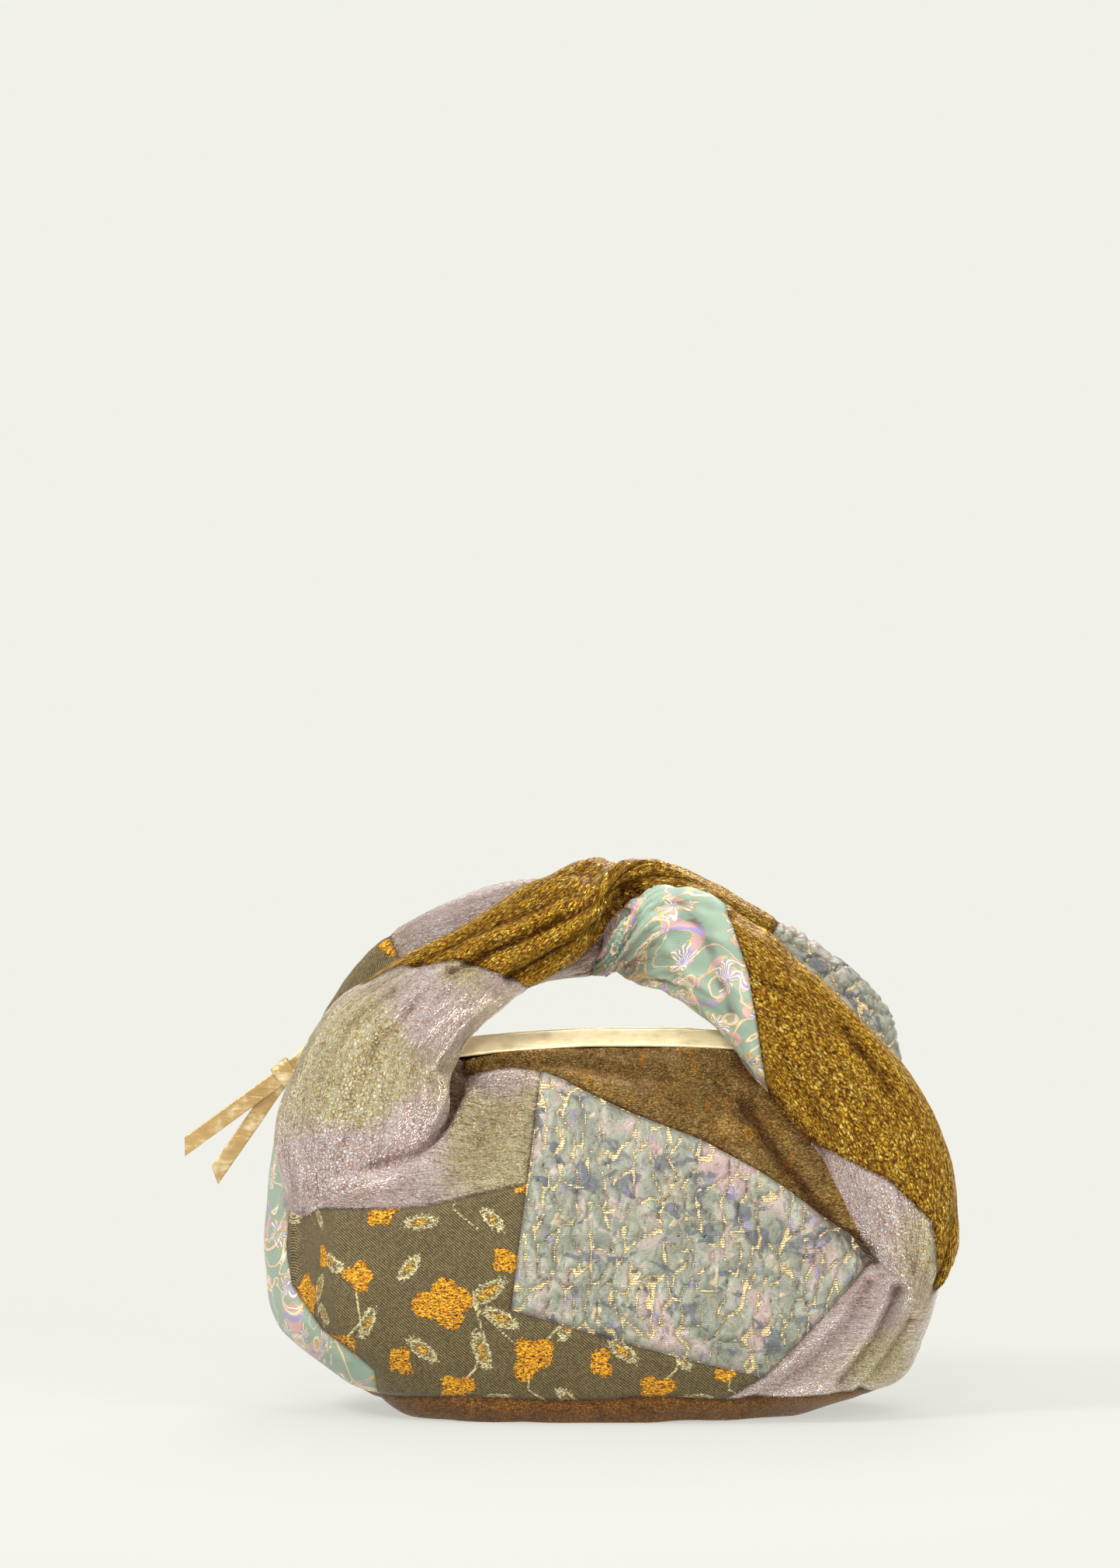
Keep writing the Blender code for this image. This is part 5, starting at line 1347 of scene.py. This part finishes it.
def lace_piece(finish):
    line = lace_line()
    data = spline(line, np.linspace(0, len(line) - 1, 12 * (len(line) - 1) + 1))
    path, turn = data[:, :3], np.clip(data[:, 3], -1, 1) * pi / 2
    ahead = np.gradient(path, axis=0)
    ahead[:, 1] = 0
    ahead /= np.linalg.norm(ahead, axis=1, keepdims=True)
    across = np.array([0.0, 1.0, 0.0])
    section, rings = rounded(20, 0.22, 0.5), []
    bow = LACE_CUP * (section[:, 0] ** 2 - 0.5)
    for k, (p, t, a) in enumerate(zip(path, ahead, turn)):
        wide = cos(a) * across + sin(a) * np.cross(t, across)
        thick = np.cross(t, wide)
        slant = LACE_SLANT * max(0.0, 1 - min(k, len(path) - 1 - k) / 6)    # its ends are cut on the slant
        forward = slant * section[:, 0] * (1 if k < len(path) / 2 else -1)
        flat = p + section[:, :1] * LACE_WIDTH / 2 * wide
        rings.append(flat + (section[:, 1:] * LACE / 2 + bow[:, None]) * thick + forward[:, None] * t)
    return swept("pull_lace", rings, finish)


def keeper_piece(finish):
    """A folded band of leather wrapped tightly round both strands."""
    slope = (TAIL_A + TAIL_B) / 2 - radians(6)
    along, up = np.array([cos(slope), 0, sin(slope)]), np.array([-sin(slope), 0, cos(slope)])
    back = np.array([0, 1.0, 0])
    section, rings = rounded(48, 0.35, 0.55), []
    wide, deep = LACE_WIDTH / 2 + 0.0019, LACE + 0.0024
    for place, swell in KEEPER_FOLDS:
        skewed = place + 0.10 * section[:, 0] * (1 - abs(place))
        ring = np.array([KEEPER[0], 0, KEEPER[1]]) + (skewed * KEEPER_LENGTH / 2)[:, None] * along
        rings.append(ring + section[:, :1] * (wide + swell) * up + section[:, 1:] * (deep + swell) * back)
    return swept("pull_keeper_band", rings, finish)


# Operators

BASE_SHADE = (0.64, 0.45, 0.27)    # painted shade where the base band faces down: its cloth is darker and redder than the top's
CLOTHS = {"blush": blush_cloth, "mustard": mustard_cloth, "bronze": bronze_cloth, "twill": twill_cloth,
          "sage": sage_cloth, "quilt": quilt_cloth}


class BAG_OT_cloth(bpy.types.Operator):
    """Makes the pouch and both straps of sewn cloth patches"""

    bl_idname = "bag.cloth"
    bl_label = "Cloth patches"

    def execute(self, context):
        sizes, shades = context.scene.bag_sizes, context.scene.bag_colours
        finishes = {name: make(shades) for name, make in CLOTHS.items()}
        finishes["base"] = bronze_cloth(shades, "base_lame", BASE_SHADE)
        cloth = make_cloth(sizes)
        for label, (finish, node) in PATCHES.items():
            obj = patch_object(cloth, label, finishes[finish], sizes.seed)
            if node:
                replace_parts(obj, node)
        return {"FINISHED"}


class BAG_OT_zip(bpy.types.Operator):
    """Makes the leather facings, the teeth and their tape, and finishes the slider and the stops"""

    bl_idname = "bag.zip"
    bl_label = "Zip"

    def execute(self, context):
        shades = context.scene.bag_colours
        leather, facing = leather_finish(shades.leather), leather_finish(shades.facing, "facing_leather")
        metal, tape = metal_finish(shades), tape_finish()
        for end, side in (("front", -1), ("back", 1)):
            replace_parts(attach(facing_piece("facing_" + end, side, facing), "bag"), "zip_facing_" + end)
            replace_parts(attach(teeth_piece("teeth_" + end, side, metal), "bag"), "zip_row_" + end)
            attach(tape_piece("tape_" + end, side, tape), "bag")
        for name in ("slider", "pull_ring", "left_stop_front", "left_stop_back", "right_stop"):
            dress(name, metal)
        for name in ("end_tab_left", "end_tab_right"):
            dress(name, leather)
        return {"FINISHED"}


class BAG_OT_pull(bpy.types.Operator):
    """Makes the leather lace and its keeper"""

    bl_idname = "bag.pull"
    bl_label = "Pull"

    def execute(self, context):
        leather = bpy.data.materials.get("pull_leather") or leather_finish(context.scene.bag_colours.leather)
        for piece, node in ((lace_piece(leather), "pull_strap"), (keeper_piece(leather), "pull_keeper")):
            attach(piece, "zip_pull")
            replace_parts(piece, node)
            lie_down(piece)
        return {"FINISHED"}


class BAG_OT_inside(bpy.types.Operator):
    """Finishes the lining and the board in the base"""

    bl_idname = "bag.inside"
    bl_label = "Inside"

    def execute(self, context):
        dress("lining", lining_finish())
        dress("base_board", board_finish())
        return {"FINISHED"}


def dress(name, finish):
    """Gives a CAD node its finish."""
    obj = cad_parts[name]
    obj.data.materials.clear()
    obj.data.materials.append(finish)
    for slot in obj.material_slots:
        slot.material = finish


# Stage: place, height of the point aimed at, size, watts and colour of each lamp
LAMPS = {
    "key_light": ((-0.85, -0.70, 1.05), 0.10, (0.32, 0.32), 12.5, (1.0, 0.98, 0.95)),
    "front_light": ((-0.15, -1.45, 1.00), 0.10, (0.30, 0.20), 5.0, (1.0, 0.98, 0.95)),
    "fill_light": ((0.95, -0.85, 0.55), 0.10, (0.4, 0.4), 6.0, (1.0, 0.99, 0.97)),
    "rim_light": ((0.25, 0.95, 0.95), 0.14, (0.7, 0.4), 5.0, (1.0, 1.0, 1.0)),
}
LENS, SENSOR, VIEW_WIDTH = 100, 36, 0.626    # millimetres, and the metres that the frame spans at the bag
VIEW_RISE, VIEW_HEIGHT, SHIFT_X, SHIFT_Y = radians(4), 0.1088, -0.028, 0.226
FLOOR_HALF, FLOOR_NEAR, FLOOR_FAR, FLOOR_SHARE = 8.0, 0.16, 0.62, 0.40
# The light that the bag reflects rises from below to above, between these heights of the view direction
SKY_FROM, SKY_TO, SKY_DARK, SKY_BRIGHT = -0.25, 0.85, 0.06, 1.15


def stand(obj, place, aim):
    """Links an object that looks from a place to a point."""
    obj.location = place
    obj.rotation_mode = "QUATERNION"
    obj.rotation_quaternion = (Vector(aim) - Vector(place)).to_track_quat("-Z", "Y")
    bpy.context.scene.collection.objects.link(obj)
    return obj


def lamp(name, place, height, size, energy, shade):
    light = bpy.data.lights.new(name, "AREA")
    light.shape, (light.size, light.size_y), light.energy, light.color = "RECTANGLE", size, energy, shade
    stand(bpy.data.objects.new(name, light), place, (0, 0, height))


def backdrop_world(shade):
    """A plain backdrop for the camera; the bag itself is lit by a sky that is darker below."""
    world = bpy.data.worlds.new("studio")
    bpy.context.scene.world = world
    world.use_nodes = True
    world.node_tree.nodes.clear()
    nodes = Nodes(world.node_tree)
    up = nodes.parts(nodes.node("TexCoord", output="Generated"))[2]
    level = nodes.node("MapRange", None, {0: up, 1: SKY_FROM, 2: SKY_TO, 3: SKY_DARK, 4: SKY_BRIGHT})
    lit = nodes.node("Background", None, {"Color": (0.96, 0.95, 0.94, 1), "Strength": level})
    seen = nodes.node("Background", None, {"Color": shade, "Strength": 1.0})
    camera, glass = (nodes.node("LightPath", output=f"Is {kind} Ray") for kind in ("Camera", "Transmission"))
    either = nodes.node("Math", {"operation": "ADD", "use_clamp": True}, {0: camera, 1: glass})
    both = nodes.node("MixShader", None, {0: either, 1: lit, 2: seen})
    nodes.node("OutputWorld", None, {"Surface": both}, output=None)


def floor_finish(shade):
    """Pale paper that keeps the bag's shadow near it and fades into the backdrop further out."""
    finish = Finish("backdrop_paper", roughness=1.0)
    x, y, _ = finish.parts(finish.node("TexCoord", output="Object"))
    near = 1 - ((x * x + y * y) ** 0.5).step(FLOOR_NEAR, FLOOR_FAR)
    glow = finish.node("Emission", None, {"Color": shade, "Strength": 1.0})
    paper = finish.node("BsdfDiffuse", None, {"Color": (0.58, 0.58, 0.56, 1)})
    both = finish.node("MixShader", None, {0: near * FLOOR_SHARE, 1: glow, 2: paper})
    output = next(node for node in finish.tree.nodes if node.type == "OUTPUT_MATERIAL")
    finish.give(output.inputs["Surface"], both)
    return finish.material


class BAG_OT_stage(bpy.types.Operator):
    """Makes the floor, the backdrop, the lamps and the camera"""

    bl_idname = "bag.stage"
    bl_label = "Stage"

    def execute(self, context):
        shade = tuple(context.scene.bag_colours.paper)
        backdrop_world(shade)
        corners = [(x * FLOOR_HALF, y * FLOOR_HALF, 0) for x, y in ((-1, -1), (1, -1), (1, 1), (-1, 1))]
        mesh_object("floor", corners, [(0, 1, 2, 3)], floor_finish(shade))
        for name, settings in LAMPS.items():
            lamp(name, *settings)
        data = bpy.data.cameras.new("camera")
        data.lens, data.sensor_width, data.shift_x, data.shift_y, data.clip_end = LENS, SENSOR, SHIFT_X, SHIFT_Y, 60
        aim = Vector((0, 0, VIEW_HEIGHT))
        place = aim + Vector((0, -cos(VIEW_RISE), sin(VIEW_RISE))) * (VIEW_WIDTH * LENS / SENSOR)
        context.scene.camera = stand(bpy.data.objects.new("camera", data), place, aim)
        context.scene.view_settings.view_transform = "Standard"
        return {"FINISHED"}


class BAG_PT_panel(bpy.types.Panel):
    """Lists the bag's pieces, sizes and colours"""

    bl_idname = "BAG_PT_panel"
    bl_label = "Top handle bag"
    bl_space_type = "VIEW_3D"
    bl_region_type = "UI"
    bl_category = "Bag"

    def draw(self, context):
        for group in (context.scene.bag_sizes, context.scene.bag_colours):
            box = self.layout.box()
            for name in group.__annotations__:
                box.prop(group, name)
        for step in OPERATORS:
            self.layout.operator(step.bl_idname)


OPERATORS = (BAG_OT_stage, BAG_OT_cloth, BAG_OT_zip, BAG_OT_pull, BAG_OT_inside)
CLASSES = (BagSizes, BagColours, *OPERATORS, BAG_PT_panel)


def register():
    for each in CLASSES:
        bpy.utils.register_class(each)
    bpy.types.Scene.bag_sizes = PointerProperty(type=BagSizes)
    bpy.types.Scene.bag_colours = PointerProperty(type=BagColours)


def unregister():
    del bpy.types.Scene.bag_sizes, bpy.types.Scene.bag_colours
    for each in reversed(CLASSES):
        bpy.utils.unregister_class(each)


def main():
    register()
    bpy.ops.bag.stage()
    bpy.ops.bag.cloth()
    bpy.ops.bag.zip()
    bpy.ops.bag.pull()
    bpy.ops.bag.inside()


if __name__ == "__main__":
    main()
